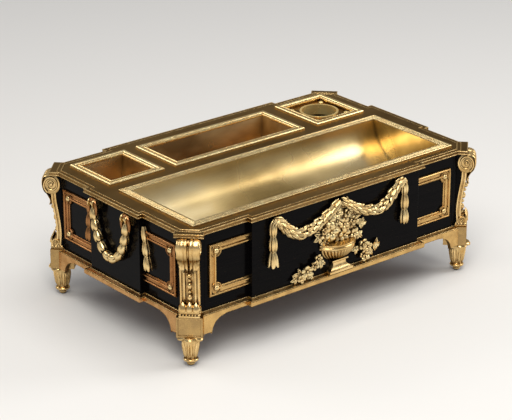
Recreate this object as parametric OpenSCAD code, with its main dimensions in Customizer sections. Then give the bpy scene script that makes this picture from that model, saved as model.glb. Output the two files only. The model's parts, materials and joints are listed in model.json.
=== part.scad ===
// Desk inkstand: a footed, ebonised case with gilt mounts, lift-out metal liners in its top
// and a hinged garland handle at each end.
// The origin is the middle of the footprint on the desk, the front faces -Y, and +Z is up.

/* [Case] */
// Length of the wooden case over its recessed end faces
case_l = 321.6; // [318:0.2:332]
// Width of the wooden case over its recessed front and back faces
case_w = 197.4; // [195:0.2:206]
// Height of the wood that shows between the base moulding and the top plate
panel_h = 71.8; // [70:0.2:90]
// Leg of the square that each corner loses to its canted face
corner_cut = 11.6; // [9:0.2:13]
// Thickness of the case boards
board_t = 9; // [7:0.5:10]
// Thickness of the bottom board
bottom_t = 5; // [4:0.5:5.5]
// Thickness of the wooden top under the metal plate
top_t = 6; // [4:0.5:9]
// Side of the square corner posts
post_leg = 16; // [15:0.5:17]
// Half length of the projecting front and back panels
front_half = 97; // [90:0.5:100]
// Projection of the front and back panels
front_step = 5; // [4:0.5:7]
// Half width of the projecting end panels
end_half = 36; // [34:0.5:37]
// Projection of the end panels
end_step = 5; // [4:0.5:7]

/* [Base] */
// Height of the feet
foot_h = 29; // [24:0.5:34]
// Height of the corner blocks
block_h = 18.4; // [16:0.2:22]
// Width of a corner block across its canted face
block_w = 22.8; // [21:0.2:24]
// Projection of a corner block from the canted face of the case
block_out = 11.5; // [10.5:0.1:13]
// Reach of a corner block behind that face
block_in = 10; // [8:0.5:12]
// Distance of the foot's axis from the canted face
foot_out = 3.4; // [3:0.1:5]
// Radius of the foot's leaf collar
collar_r = 12; // [10:0.2:13]
// Height of the base moulding
rail_h = 5.8; // [5:0.1:8]
// Projection of the base moulding
rail_out = 4.9; // [4:0.1:6]
// Radius of the hollow curve of the apron brackets
apron_r = 14.5; // [10:0.5:16]
// Width of an apron bracket at its foot, from the arris of the case
apron_w = 8.4; // [6:0.2:12]
// Thickness of the apron brackets
apron_t = 4; // [3:0.1:4.9]

/* [Top plate] */
// Thickness of the top plate at its edge
plate_t = 3.7; // [3:0.1:6]
// Overhang of the top plate beyond the wood
plate_over = 3.6; // [2:0.1:5]
// Rise of the plate's field above its border
field_rise = 0.4; // [0.2:0.1:0.8]
// Width of the plate's lower border
field_edge = 5; // [4:0.2:7]
// Width of the square projection of the plate over each corner
abacus_w = 25; // [22:0.2:27]
// Projection of the plate over each corner from the canted face
abacus_out = 9.5; // [8:0.1:12]

/* [Liners] */
// Distance from the case's end faces to the pen tray's frame
end_margin = 10.8; // [10.2:0.1:13]
// Distance from the case's front face to the pen tray's frame
front_margin = 8; // [8:0.1:9]
// Distance from the case's back face to the frames of the wells
back_margin = 8.4; // [8.4:0.1:9]
// Width of the pen tray over its frame
tray_w = 105.2; // [95:0.2:110]
// Space between the pen tray and the row of wells
row_gap = 14.7; // [12:0.1:18]
// Distance that the small well's frame stands in from the tray's end
well_inset = 1.2; // [0:0.1:4]
// Length of the small well over its frame
small_l = 60.7; // [50:0.1:66]
// Space between the small well and the middle well
well_gap = 12.2; // [9:0.1:16]
// Space between the middle well and the inkwell frame
ink_gap = 15.5; // [9:0.1:18]
// Length of the inkwell frame
ink_l = 58.5; // [56:0.1:62]
// Amount that the inkwell frame is wider than the wells
ink_extra = 1.9; // [0:0.1:2]
// Width of the pen tray's moulded frame
tray_band = 8.7; // [7.5:0.1:10]
// Width of the wells' moulded frames
well_band = 8; // [7:0.1:9]
// Height of the trough's axis above the plate
trough_rise = 7; // [2:0.5:14]
// Depth of the wells
well_depth = 34; // [20:1:44]
// Inward lean of the wells' walls over their depth
well_draft = 8.5; // [4:0.5:12]
// Thickness of the liners' sheet metal
sheet = 1; // [0.8:0.1:1.4]
// Thickness of the liners' flanges where they lie on the plate
flange_t = 0.8; // [0.5:0.1:1.2]
// Clearance round each liner in the plate
liner_gap = 0.4; // [0.2:0.1:0.8]
// Clearance round each liner in the wooden top
board_gap = 0.8; // [0.5:0.1:1]

/* [Inkwell seat] */
// Inner radius of the ring that holds the inkwell
ring_r = 16.5; // [14:0.1:17]
// Wall of the ring
ring_wall = 2.2; // [1.5:0.1:2.4]
// Length of the ring
ring_h = 10; // [9:0.5:16]
// Thickness of the sunk plate that carries the ring
seat_t = 2.3; // [1.5:0.1:3]
// Height of the ring above the sunk plate
ring_proud = 1.4; // [1:0.1:2]
// Distance of the ring screws from the ring's centre lines
screw_off = 18.4; // [17.8:0.1:18.6]
// Radius of the ring screws' heads
screw_head_r = 2.4; // [1.8:0.1:2.5]
// Radius of the ring screws' shanks
screw_r = 1.2; // [0.8:0.1:1.5]

/* [Mounts on the wood] */
// Lowest edge of the bracket frames above the base moulding
frame_low = 12.1; // [9:0.1:14]
// Height of the bracket frames
frame_h = 47.8; // [44:0.2:50]
// Distance from the recessed end of the case to the outer edge of a front bracket frame
frame_side = 20.3; // [18:0.1:24]
// Distance from the recessed front of the case to the outer edge of an end bracket frame
frame_end_side = 16.9; // [14:0.1:20]
// Width of the bracket frames' moulding
frame_band = 8.2; // [7:0.1:9]
// Relief of the bracket frames
frame_relief = 2.5; // [2:0.1:3.5]
// Radius of the rosette studs that pin the bracket frames
rosette_r = 2.75; // [2:0.05:3]
// Width of a console's shaft
console_w = 17; // [14:0.2:19]
// Width of a console's volute
volute_w = 20.6; // [19:0.2:22]
// Radius of a console's volute
volute_r = 8.4; // [7.5:0.1:9]
// Radius of a console's foot scroll
scroll_r = 5.3; // [4.5:0.1:5.8]
// Radius of the thickest leaves of the front garland
rope_r = 5.2; // [4.5:0.1:5.6]
// Distance of the front garland's core from its panel
rope_out = 2.8; // [2:0.1:3.4]
// Half width of the front loops of the garland, from the middle of the panel
loop_half = 75; // [70:0.5:80]
// Half width of the basket's rim
basket_half = 21; // [18:0.5:23]
// Sinking of the basket's axis behind the face of the panel
basket_sink = 12; // [10:0.5:16]

/* [Handles] */
// Half distance between the hinges of a garland handle
bail_half = 24; // [22:0.5:26]
// Drop of a garland handle below its hinges, to the middle of the leaves
bail_drop = 40.5; // [34:0.5:46]
// Radius of a handle's thickest leaves
bail_r = 4; // [3.4:0.1:4.2]
// Radius of the eye at each end of a handle
eye_r = 3; // [2.6:0.1:3.2]
// Length of the eye along the hinge
eye_w = 4.4; // [3.6:0.1:5]
// Radius of the hinge pins
pin_r = 1; // [0.8:0.05:1.2]
// Thickness of a lug's ears
ear_t = 1.6; // [1.2:0.1:2.2]
// Thickness of a lug's back plate
lug_t = 1; // [0.8:0.1:1.4]
// Distance of the hinge below the top plate
hinge_low = 4.7; // [4.5:0.1:6]
// Radial clearance of the hinge pins in the eyes
pin_gap = 0.05; // [0.02:0.01:0.1]
// Clearance between moving and fixed pieces
run_gap = 0.3; // [0.25:0.05:0.5]

/* [Hidden] */
$fn = 48;

gilt = "goldenrod";
bronze = "darkgoldenrod";
ebony = "#1b1512";
steel = "dimgray";
eps = 0.01;

// Heights of the main levels
rail_top = foot_h + block_h;
plate_z = rail_top + panel_h;
field_z = plate_z + plate_t + field_rise;

// Half sizes of the case, and the middle of each canted corner face
half_l = case_l / 2;
half_w = case_w / 2;
corner_u = (half_l + half_w - corner_cut) / sqrt(2);
corner_v = (half_l - half_w) / sqrt(2);
end_face = half_l + end_step;
front_face = half_w + front_step;

// Places of the liners on the plate, as [x0, y0, x1, y1]
tray_half = half_l - end_margin;
tray_y0 = front_margin - half_w;
wells_y0 = tray_y0 + tray_w + row_gap;
wells_y1 = half_w - back_margin;
small_x0 = well_inset - tray_half;
middle_x0 = small_x0 + small_l + well_gap;
ink_x0 = tray_half - ink_l;
tray_box = [-tray_half, tray_y0, tray_half, tray_y0 + tray_w];
small_box = [small_x0, wells_y0, small_x0 + small_l, wells_y1];
middle_box = [middle_x0, wells_y0, ink_x0 - ink_gap, wells_y1];
ink_box = [ink_x0, wells_y0, tray_half, wells_y1 + ink_extra];

// The pen tray's trough
trough_y = tray_y0 + tray_w / 2;
trough_half = tray_w / 2 - tray_band;
trough_r = sqrt(trough_half * trough_half + trough_rise * trough_rise);
trough_z = field_z + trough_rise;
trough_l = 2 * (tray_half - tray_band);

// The inkwell ring stands in the middle of its frame
ring_x = (ink_box[0] + ink_box[2]) / 2;
ring_y = (ink_box[1] + ink_box[3]) / 2;
seat_z = plate_z + seat_t;
ring_top = seat_z + ring_proud;

// Fastenings
fit_gap = 0.1;
stud_r = 2;
stud_low = foot_h - 12;
stud_high = rail_top + 7;
wood_screw_r = 1.6;
wood_head_r = 3;
wood_head_h = 1.5;
wood_bite = 12;
head_sink = 1;
block_screw_u = -5;

// Consoles, drawn by their distance from the canted face and their height
volute_u = volute_r + 0.3;
volute_z = plate_z - volute_r - 0.2;
scroll_u = 8.2;
scroll_z = rail_top + scroll_r + 0.4;
shaft_in = 1.1;
shaft_t = 5.6;
shaft_low = rail_top + 14;
shaft_sweep = 5.4;
console_base_h = 2;
bead_rs = [2, 1.5, 1.5, 1.3, 1.3, 1.3];
bead_pitch = 5;

// Garlands
knot_z = plate_z - 4.6;
swag_low = plate_z - 24.5;
drop_low = plate_z - 47;
drop_high = plate_z - 7;
drop_tops = [0, 15, 31];
drop_rs = [3.2, 3.9, 4.8];
drop_lap = 2;

// Handles
pivot_x = end_face + lug_t + run_gap + eye_r;
pivot_z = plate_z - hinge_low;
ear_r = 4.2;
lug_h = 10;
neck_r = 2;
bail_start = 6;
bail_leaves = 20;

// Reach of the blocks that cut the mounts flush with the case
beyond = 60;

function arc(cx, cy, r, a0, a1, n) =
    [for (i = [0:n]) [cx + r * cos(a0 + (a1 - a0) * i / n), cy + r * sin(a0 + (a1 - a0) * i / n)]];

function inset(b, d) = [b[0] + d, b[1] + d, b[2] - d, b[3] - d];

// Repeats its children at the four canted corners, with X outward from the canted face
module at_corner(sx, sy)
    mirror([sx < 0 ? 1 : 0, 0, 0]) mirror([0, sy < 0 ? 1 : 0, 0])
        rotate(45) translate([corner_u, -corner_v, 0]) children();

module at_corners()
    for (sx = [-1, 1], sy = [-1, 1]) at_corner(sx, sy) children();

// Plan of the case, with its four projecting panels and canted corners, grown by g
module case_outline(g)
    intersection() {
        union() {
            square([case_l + 2 * g, case_w + 2 * g], center = true);
            square([2 * (front_half + g), 2 * (front_face + g)], center = true);
            square([2 * (end_face + g), 2 * (end_half + g)], center = true);
        }
        rotate(45) square(2 * (corner_u + g), center = true);
    }

module box_2d(b) translate([b[0], b[1]]) square([b[2] - b[0], b[3] - b[1]]);

module block_body(grow)
    translate([-block_in, -block_w / 2, foot_h - grow])
        cube([block_in + block_out, block_w, block_h + grow]);

// Wood
module long_board() {
    color(ebony) difference() {
        translate([post_leg - half_l, -half_w, rail_top - bottom_t])
            cube([case_l - 2 * post_leg, board_t, panel_h + bottom_t]);
        at_corners() block_body(1);
    }
}

module end_board() {
    color(ebony) difference() {
        translate([-half_l, post_leg - half_w, rail_top - bottom_t])
            cube([board_t, case_w - 2 * post_leg, panel_h + bottom_t]);
        at_corners() block_body(1);
    }
}

module front_board() long_board();
module back_board() rotate(180) long_board();
module left_board() end_board();
module right_board() rotate(180) end_board();

module post_2d() {
    a = half_l - post_leg;
    b = half_w - post_leg;
    polygon([[a, b], [half_l, b], [half_l, half_w - corner_cut], [half_l - corner_cut, half_w], [a, half_w]]);
}

module corner_posts() {
    color(ebony) difference() {
        for (sx = [0, 1], sy = [0, 1]) mirror([sx, 0, 0]) mirror([0, sy, 0])
            translate([0, 0, rail_top]) linear_extrude(panel_h) post_2d();
        at_corners() {
            translate([block_screw_u, 0, rail_top - 1]) cylinder(r = wood_screw_r + fit_gap, h = wood_bite + 2);
            console_screw(fit_gap);
        }
    }
}

module bottom_board() {
    color(ebony) difference() {
        translate([board_t - half_l, board_t - half_w, rail_top - bottom_t])
            cube([case_l - 2 * board_t, case_w - 2 * board_t, bottom_t]);
        at_corners() block_body(1);
    }
}

module top_board() {
    seat = inset(ink_box, well_band + liner_gap);
    color(ebony) difference() {
        translate([board_t - half_l, board_t - half_w, plate_z - top_t])
            cube([case_l - 2 * board_t, case_w - 2 * board_t, top_t]);
        for (sx = [-1, 1], sy = [-1, 1])
            translate([sx * half_l, sy * half_w, plate_z - top_t / 2])
                cube([2 * post_leg, 2 * post_leg, top_t + 1], center = true);
        translate([0, 0, plate_z - top_t - 1]) linear_extrude(top_t + 2) {
            box_2d(inset(tray_box, tray_band - sheet - board_gap));
            box_2d(inset(small_box, well_band - sheet - board_gap));
            box_2d(inset(middle_box, well_band - sheet - board_gap));
        }
        translate([ring_x, ring_y, plate_z - top_t - 1])
            cylinder(r = ring_r + ring_wall + liner_gap, h = top_t + 2);
        at_ring_screws() translate([0, 0, plate_z - top_t + 1]) cylinder(r = screw_r + fit_gap, h = top_t);
    }
}

module long_panel()
    color(ebony) translate([-front_half, -front_face, rail_top]) cube([2 * front_half, front_step, panel_h]);

module end_panel()
    color(ebony) translate([-end_face, -end_half, rail_top]) cube([end_step, 2 * end_half, panel_h]);

module front_panel() long_panel();
module back_panel() rotate(180) long_panel();
module left_panel() end_panel();
module right_panel() rotate(180) end_panel();

// Base moulding: one length along a side of the case, which steps out round the panel
rail_edge = 1;
rail_chamfer = 1.6;

module rail_2d(step)
    polygon([[-eps, rail_top - rail_h], [step + rail_out - 0.8, rail_top - rail_h],
        [step + rail_out, rail_top - rail_h + 0.8], [step + rail_out, rail_top - rail_chamfer],
        [step + rail_edge, rail_top], [-eps, rail_top]]);

module rail_span_2d(half)
    polygon([[-half - rail_out + 0.8, rail_top - rail_h], [half + rail_out - 0.8, rail_top - rail_h],
        [half + rail_out, rail_top - rail_h + 0.8], [half + rail_out, rail_top - rail_chamfer],
        [half + rail_edge, rail_top], [-half - rail_edge, rail_top],
        [-half - rail_out, rail_top - rail_chamfer], [-half - rail_out, rail_top - rail_h + 0.8]]);

// A plan profile run along X in front of a face that lies at Y = 0, outward being -Y
module run_x(length) rotate([90, 0, -90]) translate([0, 0, -length / 2]) linear_extrude(length) children();

module bracket_2d(arris) {
    inner = arris - apron_w;
    polygon(concat([[arris + block_w, foot_h], [arris + block_w, rail_top - rail_h + 1],
        [inner - apron_r, rail_top - rail_h + 1]],
        arc(inner - apron_r, rail_top - rail_h - apron_r, apron_r, 90, 0, 24),
        [[inner, foot_h]]));
}

// The side of the case lies at Y = -face, with its canted arris at X = arris
module side_rail(face, step, half, arris, half_corner) {
    color(bronze) difference() {
        translate([0, -face, 0]) {
            run_x(2 * half_corner) rail_2d(0);
            intersection() {
                run_x(4 * half) rail_2d(step);
                rotate([90, 0, 0]) translate([0, 0, -1]) linear_extrude(face) rail_span_2d(half);
            }
            for (s = [0, 1]) mirror([s, 0, 0])
                rotate([90, 0, 0]) translate([0, 0, rail_out - apron_t]) linear_extrude(apron_t)
                    bracket_2d(arris);
        }
        translate([-half_corner, -face, 0]) cube([2 * half_corner, face, plate_z]);
        translate([-half, -face - step, 0]) cube([2 * half, face + step, plate_z]);
        children();
    }
}

module long_rail()
    side_rail(half_w, front_step, front_half, half_l - corner_cut, half_l)
        at_corners() {
            block_body(1);
            beyond_blocks();
        }

module end_rail()
    rotate(-90) side_rail(half_l, end_step, end_half, half_w - corner_cut, half_w)
        rotate(90) at_corners() {
            block_body(1);
            beyond_blocks();
        }

// Everything beyond the middle line of a corner block, so that a moulding ends on the block's side
module beyond_blocks()
    translate([-block_in, -block_w / 2, 0]) cube([4 * block_w, block_w, plate_z]);

module front_rail() long_rail();
module back_rail() rotate(180) long_rail();
module left_rail() end_rail();
module right_rail() rotate(180) end_rail();

// Corner blocks with a sunk face, bored for the stud of the foot and for a screw into the post
panel_border = 1.6;
panel_sink = 0.6;

module corner_block(sx, sy)
    color(gilt) at_corner(sx, sy) difference() {
        block_body(0);
        translate([block_out - panel_sink, panel_border - block_w / 2, foot_h + panel_border])
            cube([panel_sink + 1, block_w - 2 * panel_border, block_h - 2 * panel_border]);
        translate([foot_out, 0, foot_h - 1]) cylinder(r = stud_r + fit_gap, h = block_h + 2);
        translate([block_screw_u, 0, foot_h - 1]) {
            cylinder(r = wood_screw_r + fit_gap, h = block_h + 2);
            cylinder(r = wood_head_r + fit_gap, h = 1 + head_sink + wood_head_h);
        }
    }

module front_left_block() corner_block(-1, -1);
module front_right_block() corner_block(1, -1);
module back_left_block() corner_block(-1, 1);
module back_right_block() corner_block(1, 1);

// Feet: a leaf collar, a tapered body, a disc and a small ball
foot_body_r = 8;
foot_neck_r = 4.4;
foot_disc_r = 6;
foot_ball_r = 3.6;

module foot_2d()
    polygon(concat([[0, 0], [foot_ball_r - 1.4, 0]],
        arc(foot_ball_r - 1.6, 2.2, 2, -60, 60, 8),
        [[foot_neck_r - 1, 4.2], [foot_disc_r - 0.6, 4.6], [foot_disc_r, 5.6], [foot_disc_r - 0.6, 6.6],
        [foot_neck_r, 7.4], [foot_neck_r + 0.4, 9], [foot_body_r - 1.2, foot_h - 11],
        [foot_body_r, foot_h - 7.5], [foot_body_r - 0.4, foot_h - 6], [collar_r - 2, foot_h - 5],
        [collar_r, foot_h - 2.6], [collar_r - 0.8, foot_h - 0.8], [collar_r - 2, foot_h], [0, foot_h]]));

module foot(sx, sy)
    color(gilt) at_corner(sx, sy) translate([foot_out, 0, 0]) difference() {
        rotate_extrude() foot_2d();
        translate([0, 0, stud_low - 0.5]) cylinder(r = stud_r + fit_gap, h = foot_h);
    }

module front_left_foot() foot(-1, -1);
module front_right_foot() foot(1, -1);
module back_left_foot() foot(-1, 1);
module back_right_foot() foot(1, 1);

// Consoles: a top volute, a thin curved shaft with a row of beads, and a foot scroll
shaft_high = volute_z - volute_r * 0.55;

function shaft_u(z) = shaft_in + shaft_sweep * pow(max(0, (z - shaft_low) / (volute_z - shaft_low)), 2);

module shaft_2d() {
    steps = 12;
    zs = [for (i = [0:steps]) rail_top + 1 + (shaft_high - rail_top - 1) * i / steps];
    polygon(concat([for (z = zs) [shaft_u(z), z]],
        [for (i = [steps:-1:0]) [shaft_u(zs[i]) + shaft_t, zs[i]]]));
}

module across(width) rotate([90, 0, 0]) translate([0, 0, -width / 2]) linear_extrude(width) children();

module console_screw(grow)
    translate([-post_leg, 0, volute_z]) rotate([0, 90, 0]) cylinder(r = wood_screw_r + grow, h = post_leg + 5);

module console(sx, sy)
    color(gilt) at_corner(sx, sy) difference() {
        union() {
            across(volute_w) translate([volute_u, volute_z]) circle(volute_r);
            across(console_w) {
                shaft_2d();
                translate([scroll_u, scroll_z]) circle(scroll_r);
                translate([shaft_in, rail_top]) square([block_out - shaft_in - 0.5, console_base_h]);
                translate([0, volute_z - 3]) square([volute_u, 6]);
                translate([2, volute_z]) square([abacus_out - 2.5, plate_z - volute_z]);
            }
            for (i = [0:len(bead_rs) - 1]) let (z = shaft_high - 9 - bead_pitch * i)
                translate([shaft_u(z) + shaft_t, 0, z]) sphere(bead_rs[i]);
        }
        translate([foot_out, 0, rail_top - 1]) cylinder(r = stud_r + fit_gap, h = stud_high - rail_top + 1.5);
        console_screw(fit_gap);
        translate([-5, -20, rail_top - 10]) cube([40, 40, 10]);
    }

module front_left_console() console(-1, -1);
module front_right_console() console(1, -1);
module back_left_console() console(-1, 1);
module back_right_console() console(1, 1);

module foot_studs()
    color(steel) at_corners() translate([foot_out, 0, stud_low]) cylinder(r = stud_r, h = stud_high - stud_low);

module block_screws()
    color(steel) at_corners() translate([block_screw_u, 0, foot_h + head_sink]) {
        cylinder(r = wood_head_r, h = wood_head_h);
        cylinder(r = wood_screw_r, h = block_h - head_sink + wood_bite);
    }

module console_screws()
    color(steel) at_corners() difference() {
        console_screw(0);
        translate([4, -5, 0]) cube([post_leg, 10, plate_z]);
    }

// Top plate with its raised field, and its openings for the liners and the inkwell seat
module plate_openings() {
    box_2d(inset(tray_box, tray_band - sheet - liner_gap));
    box_2d(inset(small_box, well_band - sheet - liner_gap));
    box_2d(inset(middle_box, well_band - sheet - liner_gap));
    box_2d(inset(ink_box, well_band));
}

module top_plate()
    color(bronze) difference() {
        union() {
            translate([0, 0, plate_z]) linear_extrude(plate_t) {
                case_outline(plate_over);
                at_corners_2d() translate([-block_in, -abacus_w / 2]) square([block_in + abacus_out, abacus_w]);
            }
            translate([0, 0, plate_z + 1]) linear_extrude(plate_t + field_rise - 1)
                case_outline(plate_over - field_edge);
        }
        translate([0, 0, plate_z - 1]) linear_extrude(plate_t + field_rise + 2) plate_openings();
    }

module at_corners_2d()
    for (sx = [0, 1], sy = [0, 1]) mirror([sx, 0]) mirror([0, sy])
        rotate(45) translate([corner_u, -corner_v]) children();

// A frame of four mitred mouldings round the box b, whose profile lies inward and upward, on a flat base
module mitred_frame(b, depth) {
    lx = b[2] - b[0];
    ly = b[3] - b[1];
    translate([0, 0, field_z]) linear_extrude(flange_t / 2) difference() {
        box_2d(inset(b, sheet));
        box_2d(inset(b, depth));
    }
    translate([(b[0] + b[2]) / 2, (b[1] + b[3]) / 2, field_z])
        for (k = [0:3]) {
            along = k % 2 == 0 ? lx : ly;
            apart = k % 2 == 0 ? ly : lx;
            rotate(90 * k) translate([-along / 2, -apart / 2, 0]) intersection() {
                rotate([90, 0, 90]) linear_extrude(along) children();
                translate([0, 0, -1]) linear_extrude(6)
                    polygon([[0, 0], [along, 0], [along - depth - 1, depth + 1], [depth + 1, depth + 1]]);
            }
        }
}

// Profile of the tray's frame: an outer bead and four fine reeds
bead_w = 1.9;
reed_w = 1.3;
reeds = 4;

module tray_profile() {
    base = flange_t;
    lip = tray_band - bead_w - reeds * reed_w;
    polygon(concat([[0, 0]],
        arc(bead_w / 2, base, bead_w / 2, 180, 0, 8),
        [for (k = [0:reeds - 1]) each arc(bead_w + reed_w * (k + 0.5), base, reed_w / 2, 180, 0, 6)],
        [[tray_band - lip, base + 0.3], [tray_band, base + 0.3], [tray_band, 0]]));
}

// Profile of the wells' frames: a bold outer bead, a hollow and a thin inner ridge
well_bead = 4.4;

module well_profile() {
    base = flange_t;
    polygon(concat([[0, 0]],
        arc(well_bead / 2, base - 0.7, well_bead / 2, 160, 20, 10),
        [[well_bead + 0.3, base]],
        arc(well_band - 1.6, base, 0.8, 180, 0, 6),
        [[well_band, base], [well_band, 0]]));
}

module pen_tray()
    color(gilt) difference() {
        union() {
            mitred_frame(tray_box, tray_band) tray_profile();
            intersection() {
                translate([-trough_l / 2 - sheet, trough_y, trough_z]) rotate([0, 90, 0])
                    cylinder(r = trough_r + sheet, h = trough_l + 2 * sheet, $fn = 96);
                linear_extrude(field_z + flange_t) box_2d(inset(tray_box, tray_band - sheet));
            }
        }
        translate([-trough_l / 2, trough_y, trough_z]) rotate([0, 90, 0])
            cylinder(r = trough_r, h = trough_l, $fn = 96);
    }

// A box b that narrows by draft over its depth, from the plate's field down
module hopper(b, depth, draft, above) {
    mid = [(b[0] + b[2]) / 2, (b[1] + b[3]) / 2];
    slope = draft / depth;
    intersection() {
        translate([mid[0], b[3] + 20, field_z]) rotate([90, 0, 0]) linear_extrude(b[3] - b[1] + 40)
            drafted_2d((b[2] - b[0]) / 2, depth, slope, above);
        translate([b[0] - 20, mid[1], field_z]) rotate([90, 0, 90]) linear_extrude(b[2] - b[0] + 40)
            drafted_2d((b[3] - b[1]) / 2, depth, slope, above);
    }
}

module drafted_2d(half, depth, slope, above)
    polygon([[-half + slope * depth, -depth], [half - slope * depth, -depth],
        [half, 0], [half, above], [-half, above], [-half, 0]]);

module well(b)
    color(gilt) difference() {
        union() {
            mitred_frame(b, well_band) well_profile();
            hopper(inset(b, well_band - sheet), well_depth + sheet, well_draft, flange_t);
        }
        hopper(inset(b, well_band), well_depth, well_draft, 10);
    }

module small_well() well(small_box);
module middle_well() well(middle_box);

// Inkwell seat: a frame on the plate, and a sunk plate with the ring in it
module inkwell_frame()
    color(gilt) mitred_frame(ink_box, well_band) well_profile();

module at_ring_screws()
    for (sx = [-1, 1], sy = [-1, 1]) translate([ring_x + sx * screw_off, ring_y + sy * screw_off, 0]) children();

module inkwell_plate()
    color(bronze) difference() {
        translate([0, 0, plate_z]) linear_extrude(seat_t) box_2d(inset(ink_box, well_band));
        translate([ring_x, ring_y, plate_z - 1]) cylinder(r = ring_r + ring_wall, h = seat_t + 2);
        at_ring_screws() translate([0, 0, plate_z - 1]) cylinder(r = screw_r + fit_gap, h = seat_t + 2);
    }

module inkwell_ring()
    color(gilt) translate([ring_x, ring_y, ring_top - ring_h]) difference() {
        cylinder(r = ring_r + ring_wall, h = ring_h);
        translate([0, 0, -1]) cylinder(r = ring_r, h = ring_h + 2);
    }

module ring_screws()
    color(bronze) at_ring_screws() translate([0, 0, seat_z]) {
        intersection() {
            translate([0, 0, -1]) sphere(screw_head_r + 0.2);
            cylinder(r = screw_head_r, h = 4);
        }
        translate([0, 0, 1.2 - plate_t]) cylinder(r = screw_r, h = plate_t - 1);
    }

// Bracket frames: a C of moulding on each recessed bay, open towards the projecting panel
frame_z0 = rail_top + frame_low;
edge_w = 1.2;
hollow = 0.9;
pad_cut = 4;
pad_h = frame_relief - 0.5;
rosette_at = [7.4, 6.9];
rosette_h = 1.5;

module band_2d()
    polygon([[0, 0], [0, frame_relief - 0.4], [0.4, frame_relief], [edge_w, frame_relief],
        [edge_w + 0.6, frame_relief - hollow], [frame_band - edge_w - 0.6, frame_relief - hollow],
        [frame_band - edge_w, frame_relief], [frame_band - 0.4, frame_relief],
        [frame_band, frame_relief - 0.4], [frame_band, 0]]);

// Flat base under the mouldings of a bracket, which makes its three bars one piece
module bracket_base(top_l, low_l)
    linear_extrude(frame_relief - hollow - 0.4) {
        translate([0.4, 0.4]) square([low_l - 0.4, frame_band - 0.8]);
        translate([0.4, frame_h - frame_band + 0.4]) square([top_l - 0.4, frame_band - 0.8]);
        translate([0.4, 0.4]) square([frame_band - 0.8, frame_h - 0.8]);
    }

// The bracket lies flat, with its outer corner at the origin and X along the open arms
module bracket(top_l, low_l)
    color(gilt) difference() {
        union() {
            bracket_base(top_l, low_l);
            translate([0, frame_h, 0]) mirror([0, 1, 0]) arm(top_l);
            arm(low_l);
            intersection() {
                translate([0, frame_h, 0]) rotate([90, 0, 0]) linear_extrude(frame_h) band_2d();
                linear_extrude(frame_relief + 1)
                    polygon([[0, 0], [frame_band + 1, frame_band + 1], [frame_band + 1, frame_h - frame_band - 1],
                        [0, frame_h]]);
            }
            bracket_corners() linear_extrude(pad_h)
                polygon([[edge_w, edge_w], [frame_band + pad_cut, edge_w], [frame_band + pad_cut, frame_band - 0.3],
                    [frame_band - 0.3, frame_band + pad_cut], [edge_w, frame_band + pad_cut]]);
        }
        bracket_corners() translate([rosette_at[0], rosette_at[1], 0]) {
            translate([0, 0, -1]) cylinder(r = screw_r + fit_gap, h = frame_relief + 2);
            translate([0, 0, pad_h]) cylinder(r = rosette_r + fit_gap, h = frame_relief);
        }
    }

module arm(length)
    intersection() {
        rotate([90, 0, 90]) linear_extrude(length) band_2d();
        linear_extrude(frame_relief + 1)
            polygon([[0, 0], [length, 0], [length, frame_band + 1], [frame_band + 1, frame_band + 1]]);
    }

module bracket_corners() {
    children();
    translate([0, frame_h, 0]) mirror([0, 1, 0]) children();
}

// Rosette studs at the corners of one bracket
module rosettes()
    color(gilt) bracket_corners() translate([rosette_at[0], rosette_at[1], 0]) {
        cylinder(r = screw_r, h = pad_h);
        translate([0, 0, pad_h]) rotate_extrude()
            polygon([[0, 0], [rosette_r, 0], [rosette_r, 0.7], [rosette_r - 0.5, 1.1], [rosette_r - 1, 0.8],
                [rosette_r - 1.2, 1.2], [rosette_r - 1.7, rosette_h], [0, rosette_h]]);
    }

// Places of the brackets: sy picks the front or back, sx the left or right
module on_front(sx, sy)
    mirror([0, sy > 0 ? 1 : 0, 0]) mirror([sx > 0 ? 1 : 0, 0, 0])
        translate([frame_side - half_l, -half_w, frame_z0]) rotate([90, 0, 0]) children();

module on_end(sx, sy)
    mirror([sx > 0 ? 1 : 0, 0, 0]) mirror([0, sy > 0 ? 1 : 0, 0])
        translate([-half_l, frame_end_side - half_w, frame_z0]) rotate([90, 0, -90]) mirror([1, 0, 0]) children();

front_arm = half_l - frame_side - front_half;
end_arm = half_w - frame_end_side - end_half;
drop_space = 14.5;

module front_bracket_at(sx, sy) on_front(sx, sy) bracket(front_arm, front_arm);
module end_bracket_at(sx, sy) on_end(sx, sy) bracket(end_arm - drop_space, end_arm);

module front_left_bracket() front_bracket_at(-1, -1);
module front_right_bracket() front_bracket_at(1, -1);
module back_left_bracket() front_bracket_at(-1, 1);
module back_right_bracket() front_bracket_at(1, 1);
module left_front_bracket() end_bracket_at(-1, -1);
module left_back_bracket() end_bracket_at(-1, 1);
module right_front_bracket() end_bracket_at(1, -1);
module right_back_bracket() end_bracket_at(1, 1);

module bracket_rosettes()
    for (sx = [-1, 1], sy = [-1, 1]) {
        on_front(sx, sy) rosettes();
        on_end(sx, sy) rosettes();
    }

// A leaf bud: a cone that widens from p to q
module bud(p, q, r1, r2) {
    d = q - p;
    along = norm(d);
    translate(p) rotate([0, acos(d[2] / along), atan2(d[1], d[0])]) rotate(90)
        cylinder(r1 = r1, r2 = r2, h = along);
}

// Overlapping buds along a path, each starting a little inside the one before
module bud_chain(path, r1, r2, lap)
    for (i = [0:len(path) - 2]) let (d = path[i + 1] - path[i])
        bud(path[i] - d * lap, path[i + 1], r1, r2);

module drop(x, y, low)
    for (i = [0:2]) {
        top = drop_high - drop_tops[i];
        bottom = i < 2 ? drop_high - drop_tops[i + 1] - drop_lap : low;
        translate([x, y, bottom]) rotate(90) cylinder(r1 = drop_rs[i], r2 = drop_rs[i] * 0.5, h = top - bottom);
    }

// Path of one swag from the knot to a side loop, in the plane of the panel
swag_steps = 13;

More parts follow.
